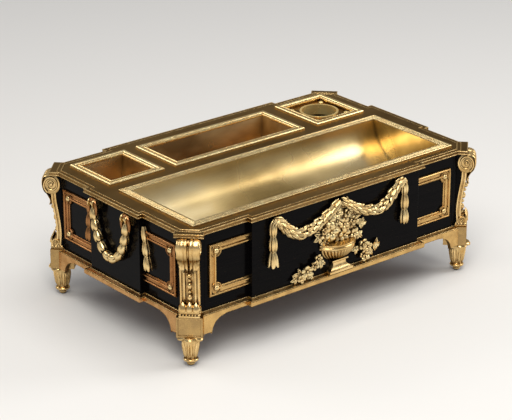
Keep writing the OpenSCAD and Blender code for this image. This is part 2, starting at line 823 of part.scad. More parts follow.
function swag_at(t) =
    [(loop_half - 4) * t, -front_face - rope_out,
        t < 0.62 ? knot_z - (knot_z - swag_low) * sin(90 * t / 0.62)
                 : swag_low + (knot_z - swag_low) * (1 - cos(90 * (t - 0.62) / 0.38))];

module swag()
    bud_chain([for (i = [0:swag_steps]) swag_at(0.04 + 0.96 * i / swag_steps)], rope_r * 0.72, rope_r, 0.12);

// The garland's leaves are cut in a few flat facets
leaf_facets = 12;

module long_garland() {
    $fn = leaf_facets;
    color(gilt) difference() {
        union() {
            for (s = [0, 1]) mirror([s, 0, 0]) {
                swag();
                translate([loop_half - 1.5, -front_face - rope_out, plate_z - 6]) sphere(rope_r);
                drop(loop_half + 1.5, -front_face - rope_out + 0.6, drop_low);
            }
            translate([0, -front_face - rope_out - 0.6, plate_z - 6.6]) sphere(rope_r + 0.8);
        }
        translate([-half_l, -front_face, 0]) cube([case_l, 20, 2 * plate_z]);
    }
}

module front_garland() long_garland();
module back_garland() rotate(180) long_garland();

// Basket: turned about an axis behind the panel, so that only its front stands out in relief
basket_h = 28;
basket_foot = rail_top;
basket_top = basket_foot + basket_h;
foot_half = 13.4;
stem_half = 6.6;

function sunk(w) = sqrt(w * w + basket_sink * basket_sink);

module basket_2d()
    polygon(concat([[0, basket_foot]],
        [[sunk(foot_half), basket_foot], [sunk(foot_half), basket_foot + 2.2],
        [sunk(foot_half - 2), basket_foot + 3], [sunk(stem_half + 1.4), basket_foot + 4.4],
        [sunk(stem_half), basket_foot + 7.6], [sunk(stem_half + 2.2), basket_foot + 10.6]],
        [for (a = [0:15:75]) [sunk(9 + (basket_half - 10) * sin(a)), basket_top - 4 - 13 * (1 - sin(a) * sin(a))]],
        [[sunk(basket_half - 1), basket_top - 4], [sunk(basket_half), basket_top - 3],
        [sunk(basket_half), basket_top - 1], [sunk(basket_half - 1.5), basket_top], [0, basket_top]]));

module long_basket()
    color(gilt) difference() {
        translate([0, basket_sink - front_face, 0]) rotate_extrude($fn = 96) basket_2d();
        translate([-half_l, -front_face, 0]) cube([case_l, 2 * half_w, 2 * plate_z]);
        translate([-half_l, -front_face - beyond, 0]) cube([case_l, 2 * beyond, rail_top]);
    }

module front_basket() long_basket();
module back_basket() rotate(180) long_basket();

// Flowers: a heap of blooms on the basket and a spray that falls to each side of it
heap = [[0, 3, 6.4], [-12.5, 3, 6.2], [12.5, 3, 6.2], [-21.5, 4, 4.6], [21.5, 4, 4.6],
    [-6.5, 11.5, 6.2], [6.5, 11.5, 6.2], [-17, 11, 5.2], [17, 11, 5.2],
    [0, 19.5, 5.8], [-11, 19, 5], [11, 19, 5], [0, 26.2, 4]];
spray = [[24, 24.4, 4.2], [25, 18, 4.4], [28.5, 12.6, 4.6], [34, 9, 5],
         [39.5, 8, 5], [45.5, 6.2, 4.4], [50, 4.4, 3.4]];
bloom_out = 2.4;

module bloom(x, z, r) translate([x, -front_face - bloom_out, z]) rotate([90, 0, 0]) sphere(r, $fn = leaf_facets);

module long_flowers()
    color(gilt) difference() {
        union() {
            for (b = heap) bloom(b[0], basket_top + b[1], b[2]);
            for (s = [-1, 1], b = spray) bloom(s * b[0], rail_top + b[1], b[2]);
        }
        translate([-half_l, -front_face, 0]) cube([case_l, 20, 2 * plate_z]);
        translate([-half_l, -front_face - beyond, 0]) cube([case_l, 2 * beyond, rail_top]);
        translate([-basket_half - run_gap, -front_face - beyond, 0])
            cube([2 * (basket_half + run_gap), 2 * beyond, basket_top]);
    }

module front_flowers() long_flowers();
module back_flowers() rotate(180) long_flowers();

// Hanging husks beside the end panels
end_drop_out = 2.4;
end_drop_y = end_half + 7;

module end_drops()
    color(gilt) for (sx = [0, 1], sy = [0, 1]) mirror([sx, 0, 0]) mirror([0, sy, 0])
        difference() {
            drop(-half_l - end_drop_out, -end_drop_y, drop_low - 1);
            translate([-half_l, -half_w, 0]) cube([20, case_w, 2 * plate_z]);
        }

// Garland handles: a half ellipse of leaf buds between two eyes
function bail_at(a) = [-pivot_x, bail_half * cos(a), pivot_z - bail_drop * sin(a)];

module left_bail()
    color(gilt) difference() {
        union() {
            for (s = [-1, 1]) {
                translate([-pivot_x, s * bail_half, pivot_z]) rotate([90, 0, 0])
                    cylinder(r = eye_r, h = eye_w, center = true);
                translate([-pivot_x, s * bail_half, pivot_z - bail_start - 2]) cylinder(r = neck_r, h = bail_start);
            }
            for (s = [0, 1]) mirror([0, s, 0]) bud_chain(
                [for (i = [0:bail_leaves / 2]) bail_at(8 + 82 * i / (bail_leaves / 2))],
                bail_r * 0.75, bail_r, 0.1, $fn = leaf_facets);
            translate([-pivot_x, 0, pivot_z - bail_drop]) sphere(bail_r + 0.3, $fn = leaf_facets);
        }
        for (s = [-1, 1]) translate([-pivot_x, s * bail_half, pivot_z]) rotate([90, 0, 0])
            cylinder(r = pin_r + pin_gap, h = eye_w + 2, center = true);
    }

module right_bail() mirror([1, 0, 0]) left_bail();

// Lugs: a back plate on the panel with two ears, bored for the pin
module lug()
    difference() {
        union() {
            translate([-end_face - lug_t, -eye_w / 2 - run_gap - ear_t, plate_z - lug_h - 0.2])
                cube([lug_t, eye_w + 2 * (run_gap + ear_t), lug_h]);
            for (s = [-1, 1]) translate([0, s * (eye_w / 2 + run_gap + ear_t / 2), 0])
                rotate([90, 0, 0]) translate([0, 0, -ear_t / 2]) linear_extrude(ear_t) {
                    translate([-pivot_x, pivot_z]) circle(ear_r);
                    translate([-pivot_x, pivot_z - ear_r]) square([pivot_x - end_face, 2 * ear_r]);
                }
        }
        translate([-pivot_x, 0, pivot_z]) rotate([90, 0, 0]) cylinder(r = pin_r, h = 20, center = true);
    }

module left_lugs()
    color(gilt) for (s = [-1, 1]) translate([0, s * bail_half, 0]) lug();

module right_lugs() mirror([1, 0, 0]) left_lugs();

module bail_pins()
    color(steel) for (sx = [-1, 1], s = [-1, 1])
        translate([sx * pivot_x, s * bail_half, pivot_z]) rotate([90, 0, 0])
            cylinder(r = pin_r, h = eye_w + 2 * (run_gap + ear_t), center = true);

front_board();
back_board();
left_board();
right_board();
corner_posts();
bottom_board();
top_board();
front_panel();
back_panel();
left_panel();
right_panel();
front_rail();
back_rail();
left_rail();
right_rail();
front_left_block();
front_right_block();
back_left_block();
back_right_block();
front_left_foot();
front_right_foot();
back_left_foot();
back_right_foot();
front_left_console();
front_right_console();
back_left_console();
back_right_console();
foot_studs();
block_screws();
console_screws();
top_plate();
pen_tray();
small_well();
middle_well();
inkwell_frame();
inkwell_plate();
inkwell_ring();
ring_screws();
front_left_bracket();
front_right_bracket();
back_left_bracket();
back_right_bracket();
left_front_bracket();
left_back_bracket();
right_front_bracket();
right_back_bracket();
bracket_rosettes();
front_garland();
back_garland();
front_basket();
back_basket();
front_flowers();
back_flowers();
end_drops();
left_bail();
right_bail();
left_lugs();
right_lugs();
bail_pins();
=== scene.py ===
"""Desk inkstand: finishes, carved mounts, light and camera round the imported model.

Shapes are worked out in millimetres, and Shape.piece() writes them in metres."""

import json
import math
import random

import bpy
from mathutils import Matrix, Vector


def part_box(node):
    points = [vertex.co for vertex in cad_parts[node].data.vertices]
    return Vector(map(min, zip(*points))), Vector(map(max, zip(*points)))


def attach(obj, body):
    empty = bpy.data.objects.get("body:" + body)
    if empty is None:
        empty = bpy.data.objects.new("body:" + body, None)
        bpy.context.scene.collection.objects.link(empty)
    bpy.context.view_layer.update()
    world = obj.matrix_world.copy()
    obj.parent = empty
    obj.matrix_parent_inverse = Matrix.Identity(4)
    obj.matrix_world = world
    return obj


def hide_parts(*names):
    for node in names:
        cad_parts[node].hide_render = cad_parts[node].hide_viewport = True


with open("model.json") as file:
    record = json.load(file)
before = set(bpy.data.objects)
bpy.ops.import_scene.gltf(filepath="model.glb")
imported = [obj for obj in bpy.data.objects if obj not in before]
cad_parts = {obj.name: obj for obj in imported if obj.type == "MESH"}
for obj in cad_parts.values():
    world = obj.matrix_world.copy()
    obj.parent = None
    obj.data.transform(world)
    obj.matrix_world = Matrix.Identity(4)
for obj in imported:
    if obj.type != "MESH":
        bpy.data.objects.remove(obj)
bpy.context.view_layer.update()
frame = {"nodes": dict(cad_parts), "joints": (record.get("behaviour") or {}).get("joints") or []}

MM = 0.001


def box(node):
    """Lowest and highest corner of a CAD node, in millimetres."""
    low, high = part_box(node)
    return low / MM, high / MM


# Levels and faces of the case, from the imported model
PLATE_Z = box("top_plate")[0].z
FIELD_Z = box("top_plate")[1].z
RAIL_TOP = box("front_rail")[1].z
BLOCK_LOW = box("front_left_block")[0].z
FRONT_FACE = -box("front_panel")[0].y
END_FACE = -box("left_panel")[0].x
HINGE = next(joint["pos_m"] for joint in frame["joints"] if joint["name"] == "left_handle_hinge")
PIVOT_X = -HINGE[0] / MM
PIVOT_Z = HINGE[2] / MM


# Materials


class Paint:
    """A node material whose colour, roughness and bump are built step by step."""

    def __init__(self, name, metallic=0.0, specular=0.5):
        self.material = bpy.data.materials.new(name)
        self.material.use_nodes = True
        self.nodes = self.material.node_tree.nodes
        self.links = self.material.node_tree.links
        self.shader = self.nodes["Principled BSDF"]
        self.shader.inputs["Metallic"].default_value = metallic
        self.shader.inputs["Specular IOR Level"].default_value = specular
        if metallic:
            self.shader.inputs["Specular Tint"].default_value = (1.0, 0.83, 0.60, 1.0)
        coordinates = self.node("ShaderNodeTexCoord")
        self.place = coordinates.outputs["Object"]
        self.normal = coordinates.outputs["Normal"]

    def node(self, kind, **sockets):
        made = self.nodes.new(kind)
        for name, value in sockets.items():
            self.put(value, made.inputs[name.replace("_", " ")])
        return made

    def put(self, value, socket):
        if isinstance(value, bpy.types.NodeSocket):
            self.links.new(value, socket)
        else:
            socket.default_value = value

    def stretched(self, scale):
        """The object's coordinates, scaled along each axis."""
        made = self.node("ShaderNodeMapping", Vector=self.place)
        made.inputs["Scale"].default_value = scale
        return made.outputs["Vector"]

    def noise(self, scale, detail=4.0, rough=0.55, stretch=None):
        vector = self.stretched(stretch) if stretch else self.place
        made = self.node("ShaderNodeTexNoise", Vector=vector, Scale=scale, Detail=detail, Roughness=rough)
        return made.outputs["Fac"]

    def ramp(self, fac, *stops):
        """Colour ramp from (position, value or colour) stops."""
        made = self.node("ShaderNodeValToRGB", Fac=fac)
        band = made.color_ramp
        while len(band.elements) < len(stops):
            band.elements.new(0.5)
        for element, (position, colour) in zip(band.elements, stops):
            if isinstance(colour, (int, float)):
                colour = (colour, colour, colour)
            element.position = position
            element.color = (*colour, 1.0)
        return made.outputs["Color"]

    def mix(self, fac, a, b, blend="MIX"):
        made = self.nodes.new("ShaderNodeMix")
        made.data_type = "RGBA"
        made.blend_type = blend
        self.put(fac, made.inputs[0])
        for value, socket in ((a, made.inputs[6]), (b, made.inputs[7])):
            self.put((*value, 1.0) if isinstance(value, tuple) else value, socket)
        return made.outputs[2]

    def recess(self, distance, low, high):
        """1 in the open and 0 in narrow recesses, read within a distance in millimetres."""
        made = self.node("ShaderNodeAmbientOcclusion", Distance=distance * MM)
        made.samples = 8
        return self.ramp(made.outputs["AO"], (low, 0.0), (high, 1.0))

    def downward(self):
        """0 on faces that look level or up, and 1 on faces that look down."""
        split = self.node("ShaderNodeSeparateXYZ", Vector=self.normal)
        raised = self.node("ShaderNodeMath", Value=split.outputs["Z"])
        raised.inputs[1].default_value = 0.6
        return self.ramp(raised.outputs[0], (0.0, 1.0), (0.6, 0.0))

    def finish(self, colour, rough, bump=None, depth=0.0, round_edges=0.0):
        self.put((*colour, 1.0) if isinstance(colour, tuple) else colour, self.shader.inputs["Base Color"])
        self.put(rough, self.shader.inputs["Roughness"])
        normal = None
        if round_edges:
            normal = self.node("ShaderNodeBevel", Radius=round_edges * MM).outputs["Normal"]
        if bump is not None:
            made = self.node("ShaderNodeBump", Height=bump, Distance=depth * MM)
            if normal is not None:
                self.links.new(normal, made.inputs["Normal"])
            normal = made.outputs["Normal"]
        if normal is not None:
            self.links.new(normal, self.shader.inputs["Normal"])
        return self.material


def gilt_paint(name, bright, mid, dark, recess=3.0, matted=False, rough=(0.20, 0.36), grain=0.03, metallic=1.0):
    """Fire-gilt bronze: warm patches, undersides painted dark as shade, recesses painted dark as shade and patina,
    and a punched ground if matted.
    """
    paint = Paint(name, metallic=metallic)
    patches = paint.noise(90.0, 5.0)
    colour = paint.ramp(patches, (0.36, mid), (0.60, bright))
    # Painted shade: faces that look down are darkened.
    colour = paint.mix(paint.downward(), colour, tuple(0.30 * c for c in mid))
    # Painted shade and patina: recesses are darkened to the dark colour.
    colour = paint.mix(paint.recess(recess, 0.30, 0.90), dark, colour)
    dull = paint.ramp(paint.noise(240.0, 3.0), (0.35, rough[0]), (0.7, rough[1]))
    if matted:
        grains = paint.node("ShaderNodeTexVoronoi", Vector=paint.place, Scale=1100.0).outputs["Distance"]
        colour = paint.mix(paint.ramp(grains, (0.1, 0.0), (0.5, 0.16)), colour, dark)
        return paint.finish(colour, dull, grains, 0.10, 0.3)
    return paint.finish(colour, dull, paint.noise(420.0, 2.0), grain, 0.25)


def brushed_paint(name, bright, mid, dark, rough, cloud=9.0, hollow=4.0):
    """Polished sheet brass: cloudy tarnish and fine rubbing marks along its length, and painted shade in a hollow.
    """
    paint = Paint(name, metallic=1.0)
    clouds = paint.noise(cloud, 3.0, 0.5, stretch=(0.7, 1.6, 1.6))
    colour = paint.ramp(clouds, (0.34, dark), (0.48, mid), (0.66, bright))
    rubbed = paint.noise(30.0, 3.0, 0.6, stretch=(4.0, 60.0, 60.0))
    colour = paint.mix(0.12, colour, paint.ramp(rubbed, (0.3, dark), (0.7, bright)), "OVERLAY")
    # Painted shade: hollows are darkened.
    colour = paint.mix(paint.recess(hollow, 0.2, 0.8), tuple(0.40 * c for c in dark), colour)
    dull = paint.ramp(paint.noise(14.0, 2.0, 0.5), (0.3, rough[0]), (0.7, rough[1]))
    return paint.finish(colour, dull, rubbed, 0.0015, 0.25)


GOLD = (0.93, 0.66, 0.30)
GOLD_MID = (0.72, 0.46, 0.17)
GOLD_DARK = (0.075, 0.034, 0.010)
CREAM_GOLD = (0.98, 0.78, 0.40)
# Painted red light and shade: the gilt of the ends and far parts, made darker and redder than the front.
GOLD_IN_RED_SHADE = (0.43, 0.205, 0.08)
GOLD_IN_RED_SHADE_MID = (0.31, 0.138, 0.048)
# Brown of the top plate: brownish brass, with a dark reflection painted in.
BROWN_GOLD = (0.31, 0.19, 0.072)
BROWN_GOLD_MID = (0.21, 0.12, 0.042)
BROWN_GOLD_DARK = (0.11, 0.058, 0.02)
PALE_BRASS = (0.93, 0.78, 0.50)
BRASS = (0.72, 0.54, 0.26)
OLIVE = (0.36, 0.25, 0.095)


def ebony_paint():
    """Polished black wood with a faint grain and a thin lacquer."""
    paint = Paint("ebonised_wood", specular=0.045)
    grain = paint.noise(30.0, 6.0, 0.6, stretch=(1.0, 1.0, 14.0))
    colour = paint.ramp(grain, (0.3, (0.0014, 0.0012, 0.0016)), (0.75, (0.004, 0.0032, 0.003)))
    dull = paint.ramp(paint.noise(18.0, 4.0), (0.3, 0.13), (0.7, 0.22))
    return paint.finish(colour, dull, grain, 0.01, 0.7)


def carcass_paint():
    """Plain brown wood of the boards that stay out of sight."""
    paint = Paint("carcass_wood", specular=0.35)
    grain = paint.noise(14.0, 8.0, 0.65, stretch=(1.0, 16.0, 16.0))
    colour = paint.ramp(grain, (0.3, (0.07, 0.032, 0.014)), (0.7, (0.17, 0.085, 0.038)))
    return paint.finish(colour, 0.6, grain, 0.05)


def steel_paint():
    """Darkened steel of the studs and screws."""
    paint = Paint("steel", metallic=1.0)
    worn = paint.noise(300.0, 3.0)
    return paint.finish(paint.ramp(worn, (0.3, 0.16), (0.7, 0.34)), 0.42, worn, 0.03)


GILT = gilt_paint("gilt_bronze", GOLD, GOLD_MID, GOLD_DARK)
GARLAND_GILT = gilt_paint("gilt_bronze_pale", (0.96, 0.74, 0.37), (0.84, 0.58, 0.25), GOLD_DARK, recess=2.6,
                          rough=(0.22, 0.34), grain=0.015)
FLOWER_GILT = gilt_paint("gilt_bronze_flowers", CREAM_GOLD, GOLD, (0.10, 0.042, 0.012), recess=4.0,
                         rough=(0.24, 0.36))
GILT_MATTED = gilt_paint("gilt_bronze_matted", (0.46, 0.30, 0.125), (0.58, 0.38, 0.15), GOLD_DARK, matted=True)
FRAME_GILT = gilt_paint("gilt_bronze_frames", GOLD_MID, (0.56, 0.33, 0.12), GOLD_DARK, recess=1.8, grain=0.01)
# Gilt with red light and shade painted in, for the end frames, the lug leaves and the far end drop.
GILT_PAINTED_RED_SHADE = gilt_paint("gilt_bronze_painted_red_shade", GOLD_IN_RED_SHADE, GOLD_IN_RED_SHADE_MID, (0.05, 0.02, 0.008), recess=1.8, grain=0.01)
# Top plate: brownish brass, darkened by a painted dark reflection.
PLATE = brushed_paint("plate_brass", BROWN_GOLD, BROWN_GOLD_MID, BROWN_GOLD_DARK, rough=(0.26, 0.38))
RAIL = gilt_paint("gilt_bronze_rails", GOLD_MID, (0.52, 0.32, 0.12), (0.42, 0.25, 0.085), recess=0.5,
                  rough=(0.24, 0.32), grain=0.003)
# End rails: the rail gilt painted darker and redder, as red light and shade.
END_RAIL_PAINTED_RED_SHADE = gilt_paint("gilt_bronze_end_rails_painted_red_shade", (0.58, 0.33, 0.14), (0.42, 0.22, 0.085), (0.34, 0.17, 0.06),
                      recess=0.5, rough=(0.24, 0.32), grain=0.003)
REED = gilt_paint("gilt_bronze_reeds", CREAM_GOLD, GOLD, (0.16, 0.08, 0.025), recess=1.4,
                  rough=(0.20, 0.28), grain=0.006)
RING = gilt_paint("gilt_bronze_ring", (0.98, 0.74, 0.30), (0.92, 0.62, 0.22), GOLD_MID, recess=0.8,
                  rough=(0.20, 0.28), grain=0.01, metallic=0.72)
LINER = brushed_paint("liner_brass", PALE_BRASS, BRASS, OLIVE, rough=(0.25, 0.31), hollow=6.0)
# Wells: brown brass with patina and a painted brown reflection, and a wide hollow of painted shade.
WELL = brushed_paint("well_brass", (0.66, 0.48, 0.25), (0.48, 0.32, 0.15), (0.27, 0.165, 0.07),
                     rough=(0.24, 0.36), cloud=22.0, hollow=22.0)
EBONY = ebony_paint()
CARCASS = carcass_paint()
STEEL = steel_paint()

CORNERS = ["front_left", "front_right", "back_left", "back_right"]
SIDES = ["front", "back", "left", "right"]
BRACKETS = [f"{a}_bracket" for a in CORNERS + ["left_front", "left_back", "right_front", "right_back"]]
DRESS = {
    EBONY: [f"{side}_{part}" for side in SIDES for part in ("board", "panel")] + ["corner_posts"],
    CARCASS: ["bottom_board", "top_board"],
    STEEL: ["foot_studs", "block_screws", "console_screws"],
    RAIL: ["front_rail", "back_rail"],
    END_RAIL_PAINTED_RED_SHADE: ["left_rail", "right_rail"],
    GILT_MATTED: [f"{corner}_block" for corner in CORNERS],
    PLATE: ["top_plate", "inkwell_plate"],
    REED: ["inkwell_frame"],
    LINER: ["pen_tray"],
    WELL: ["small_well", "middle_well"],
    RING: ["inkwell_ring"],
    GILT: ["left_lugs", "right_lugs", "bail_pins"],
}


def dress_nodes():
    """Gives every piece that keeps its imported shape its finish."""
    for material, names in DRESS.items():
        for name in names:
            mesh = frame["nodes"][name].data
            mesh.materials.clear()
            mesh.materials.append(material)
    for name in ("pen_tray", "small_well", "middle_well"):
        mesh = frame["nodes"][name].data
        mesh.materials.append(REED)
        for face in mesh.polygons:
            if face.center.z > (FIELD_Z + 0.05) * MM:
                face.material_index = 1


# Closed shapes

SMOOTH_ANGLE = 38


def add_object(name, data):
    """A new object in the scene."""
    made = bpy.data.objects.new(name, data)
    bpy.context.scene.collection.objects.link(made)
    return made


def angles(count):
    """Even steps round a circle."""
    return [2 * math.pi * j / count for j in range(count)]


def rotation(degrees, axis="Z"):
    return Matrix.Rotation(math.radians(degrees), 4, axis)


class Shape:
    """Closed shells gathered into one mesh."""

    def __init__(self):
        self.points = []
        self.faces = []

    def shell(self, points, faces):
        start = len(self.points)
        self.points += [Vector(p) for p in points]
        self.faces += [[start + i for i in face] for face in faces]

    def loft(self, rings, closed=False):
        """Skin over rings of equal length. The ends are capped, or joined to each other if closed."""
        count = len(rings[0])
        points = [p for ring in rings for p in ring]
        faces = []
        for k in range(len(rings) if closed else len(rings) - 1):
            a, b = k * count, (k + 1) % len(rings) * count
            faces += [[a + i, a + (i + 1) % count, b + (i + 1) % count, b + i] for i in range(count)]
        if not closed:
            faces.append(list(range(count))[::-1])
            faces.append([(len(rings) - 1) * count + i for i in range(count)])
        self.shell(points, faces)

    def ball(self, centre, radii, steps=8, turn=None):
        """Ellipsoid with its poles on Z."""
        rows = [Vector((0, 0, -1))]
        for i in range(1, steps):
            low = -math.pi / 2 + math.pi * i / steps
            for side in angles(2 * steps):
                rows.append(Vector((math.cos(low) * math.cos(side), math.cos(low) * math.sin(side), math.sin(low))))
        rows.append(Vector((0, 0, 1)))
        count, last = 2 * steps, len(rows) - 1
        faces = [[0, 1 + (j + 1) % count, 1 + j] for j in range(count)]
        faces += [[last, last - count + j, last - count + (j + 1) % count] for j in range(count)]
        for i in range(steps - 2):
            a, b = 1 + i * count, 1 + (i + 1) * count
            faces += [[a + j, a + (j + 1) % count, b + (j + 1) % count, b + j] for j in range(count)]
        sized = [Vector((p.x * radii[0], p.y * radii[1], p.z * radii[2])) for p in rows]
        self.shell([Vector(centre) + (turn @ p if turn else p) for p in sized], faces)

    def merged(self, other, place):
        """Adds another shape's shells, moved by place."""
        self.shell([place @ p for p in other.points], other.faces)

    def piece(self, name, body, material, slot="gilt_bronze", nodes=()):
        """Writes the mesh in metres, with its faces outward, and lets it ride on a body."""
        mesh = bpy.data.meshes.new(name)
        mesh.from_pydata([p * MM for p in self.points], [], self.faces)
        mesh.materials.append(material)
        made = add_object(name, mesh)
        bpy.context.view_layer.objects.active = made
        made.select_set(True)
        bpy.ops.object.mode_set(mode="EDIT")
        bpy.ops.mesh.select_all(action="SELECT")
        bpy.ops.mesh.normals_make_consistent(inside=False)
        bpy.ops.object.mode_set(mode="OBJECT")
        bpy.ops.object.shade_smooth_by_angle(angle=math.radians(SMOOTH_ANGLE))
        made.select_set(False)
        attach(made, body)
        if nodes:
            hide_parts(*nodes)
        return made


def moved(made, *places):
    """A shape's copies at the given places, as one shape."""
    shape = Shape()
    for place in places:
        shape.merged(made, place)
    return shape


class Route:
    """A flat path through points, read by its length. Out is the direction away from the panel."""

    def __init__(self, points, out):
        self.points = [Vector(p) for p in points]
        self.out = Vector(out).normalized()
        self.at = [0.0]
        for a, b in zip(self.points, self.points[1:]):
            self.at.append(self.at[-1] + (b - a).length)
        self.length = self.at[-1]

    def point(self, s):
        """The point at length s, past the ends in a straight line."""
        k = 0
        while k < len(self.at) - 2 and s > self.at[k + 1]:
            k += 1
        share = (s - self.at[k]) / (self.at[k + 1] - self.at[k])
        return self.points[k].lerp(self.points[k + 1], share)

    def frame(self, s, reach=1.5):
        """Point, direction along the path, outward direction and sideways direction."""
        along = (self.point(s + reach) - self.point(s - reach)).normalized()
        out = (self.out - along * self.out.dot(along)).normalized()
        return self.point(s), along, out, along.cross(out)


def along_points(points, t):
    """Point at the share t of a smooth line through (a, b) points."""
    k = min(int(t * (len(points) - 1)), len(points) - 2)
    f = t * (len(points) - 1) - k
    p = [points[max(0, min(len(points) - 1, k + d))] for d in (-1, 0, 1, 2)]
    return tuple(0.5 * (2 * b + (c - a) * f + (2 * a - 5 * b + 4 * c - d) * f ** 2
                        + (3 * b - a - 3 * c + d) * f ** 3) for a, b, c, d in zip(*p))


def smooth_line(points, steps):
    """The smooth line through (a, b) points, in even steps."""
    return [along_points(points, min(0.9999, i / steps)) for i in range(steps + 1)]


def spread_bell(u):
    """Half width of a bellflower's petal along its length: it widens, then ends in a round tip."""
    full = 0.66
    if u < full:
        return 0.66 + 0.34 * math.sin(math.pi / 2 * u / full)
    return max(0.16, 1 - ((u - full) / (1 - full)) ** 2.2) ** 0.55


def spread_leaf(u):
    """Half width of a laurel leaf along its length."""
    return max(0.07, math.sin(math.pi * min(0.995, 0.08 + 0.92 * u) ** 0.85)) ** 0.85


def round_leaf(u):
    """Half width of a short leaf with a round end."""
    return max(0.12, math.sin(math.pi * (0.10 + 0.86 * u)) ** 0.6)


def petal(shape, route, start, length, turn, half_angle, radius, spread=spread_bell, swell=0.7, rib=0.0,
          thick=0.7, rows=8, columns=6):
    """A leaf wrapped round a route. radius(u) is its distance from the route at the share u of its length,
    and turn is the angle of its middle from the outward direction, in degrees."""
    rings = []
    for i in range(rows + 1):
        u = i / rows
        point, _, out, side = route.frame(start + length * u)
        reach = radius(u)
        wide = half_angle * spread(u)
        outer, inner = [], []
        for j in range(columns + 1):
            v = 2 * j / columns - 1
            angle = math.radians(turn + wide * v)
            arch = swell * (1 - v * v) * min(1.0, wide / half_angle + 0.15)
            vein = rib * math.exp(-((v * wide / half_angle) / 0.16) ** 2)
            ray = out * math.cos(angle) + side * math.sin(angle)
            outer.append(point + ray * (reach + arch + vein))
            if 0 < j < columns:
                inner.append(point + ray * (reach - thick * (1 - v * v) - 0.1))
        rings.append(outer + inner[::-1])
    shape.loft(rings)


def tube(shape, route, radius, start=0.0, end=None, step=2.0, sides=12):
    """Round core along a route. radius(s) is in millimetres."""
    end = route.length if end is None else end
    count = max(2, round((end - start) / step))
    rings = []
    for i in range(count + 1):
        s = start + (end - start) * i / count
        point, _, out, side = route.frame(s)
        r = radius(s)
        rings.append([point + (out * math.cos(a) + side * math.sin(a)) * r for a in angles(sides)])
    shape.loft(rings)


def husk(shape, route, start, length, radius, petals=5, turn=0.0, flare=0.0, swell=1.0):
    """A ring of petals round a route, narrow where it starts, like a bellflower."""
    def reach(u):
        return radius * (0.44 + 0.56 * math.sin(math.pi / 2 * min(1.0, u / 0.7))) + flare * u ** 4

    step = 360.0 / petals
    for k in range(petals):
        angle = turn + step * (k - (petals - 1) / 2)
        petal(shape, route, start, length, angle, step * 0.55, reach, swell=swell, rows=10, columns=8)


# Handles, garlands and drops

BAIL_R = 3.25
BAIL_HALF = 24.0
BAIL_DROP = 44.0
BAIL_HUSKS = 5


def handle_route(side):
    """Half of the left handle, from an eye down to the middle."""
    steps = 24
    return Route([(-PIVOT_X, side * BAIL_HALF * math.cos(math.pi / 2 * i / steps),
                   PIVOT_Z - BAIL_DROP * math.sin(math.pi / 2 * i / steps)) for i in range(steps + 1)], (-1, 0, 0))


def handle():
    """Garland handle: a row of husks from each eye to the middle, with a knot where the rows meet."""
    shape = Shape()
    for side in (-1, 1):
        route = handle_route(side)
        tube(shape, route, lambda s: 1.7, start=1.5)
        pitch = (route.length - 4.5) / BAIL_HUSKS
        for k in range(BAIL_HUSKS):
            radius = BAIL_R + (0.3 if k == 0 else 0.6)
            husk(shape, route, 4.0 + pitch * k, pitch * 1.06, radius, petals=4, turn=-5, flare=-0.5, swell=0.7)
        eye = Route([(-PIVOT_X, side * BAIL_HALF - 2.1, PIVOT_Z), (-PIVOT_X, side * BAIL_HALF + 2.1, PIVOT_Z)],
                    (-1, 0, 0))
        tube(shape, eye, lambda s: 2.9, step=1.4, sides=20)
    shape.ball((-PIVOT_X, 0, PIVOT_Z - BAIL_DROP), (3.5, 2.2, 3.5))
    return shape


def lug_arch(side):
    """A split leaf that goes over a lug of the left handle and hugs the first husk."""
    shape = Shape()
    line = [(-5.2, -9.5), (-5.5, -6.0), (-5.2, -2.2), (-3.6, 1.6), (0.0, 3.0), (3.6, 1.6), (5.2, -2.2), (5.5, -6.0),
            (5.2, -9.5)]
    route = Route([(-END_FACE - 5.4, side * BAIL_HALF + y, PIVOT_Z + z)
                   for y, z in smooth_line(line, 32)], (-1, 0, 0))

    def thickness(s):
        share = min(0.97, max(0.03, s / route.length))
        return 0.6 + 1.3 * math.sin(math.pi * share) ** 0.5

    tube(shape, route, thickness, step=1.2)
    return shape


def hanging_drop(shape, route, radii, flares, petals=5, turn=39):
    """Three husks down a route, each wider than the one above."""
    tube(shape, route, lambda s: 1.3 + 0.8 * s / route.length, end=route.length - 2)
    for k, (radius, flare) in enumerate(zip(radii, flares)):
        start = (0.0, 0.325, 0.66)[k] * route.length
        husk(shape, route, start, 0.34 * route.length, radius, petals, turn, flare, swell=1.0)


SWAG_HALF = 71.0
SWAG_TOP = PLATE_Z - 4.6
SWAG_LOW = PLATE_Z - 24.5
SWAG_TURN = 0.62
LOOP = (74.2, PLATE_Z - 5.0)
ROPE_OUT = 2.8
DROP_X = 76.5


def swag_height(t):
    """Height of a swag at the share t of its half span: a fall from the knot, and a steeper rise to the loop."""
    if t < SWAG_TURN:
        return SWAG_TOP - (SWAG_TOP - SWAG_LOW) * math.sin(math.pi / 2 * t / SWAG_TURN)
    rise = math.pi / 2 * (t - SWAG_TURN) / (1 - SWAG_TURN)
    return SWAG_LOW + (SWAG_TOP - SWAG_LOW) * (1 - math.cos(rise))


def leaf_rope(shape, route, dice, radius, pitch, long):
    """Laurel leaves in staggered rows along a route, with their tips lifted."""
    tube(shape, route, lambda s: radius(s) * 0.62)
    for row in range(int((route.length - 3) / pitch) + 1):
        start = row * pitch - 2
        size = radius(start)
        for turn in (-66, 0, 66) if row % 2 else (-99, -33, 33, 99):
            lift = 0.3 + 0.9 * dice.random()
            length = min(long * (0.88 + 0.2 * dice.random()), route.length - start + 2)
            petal(shape, route, start + 0.8 * dice.random(), length, turn + 8 * (dice.random() - 0.5), 34,
                  lambda u: size * (0.50 + 0.36 * math.sin(math.pi / 2 * u)) + lift * u ** 3, round_leaf, swell=1.5,
                  rib=-0.5, thick=0.8, rows=10, columns=8)


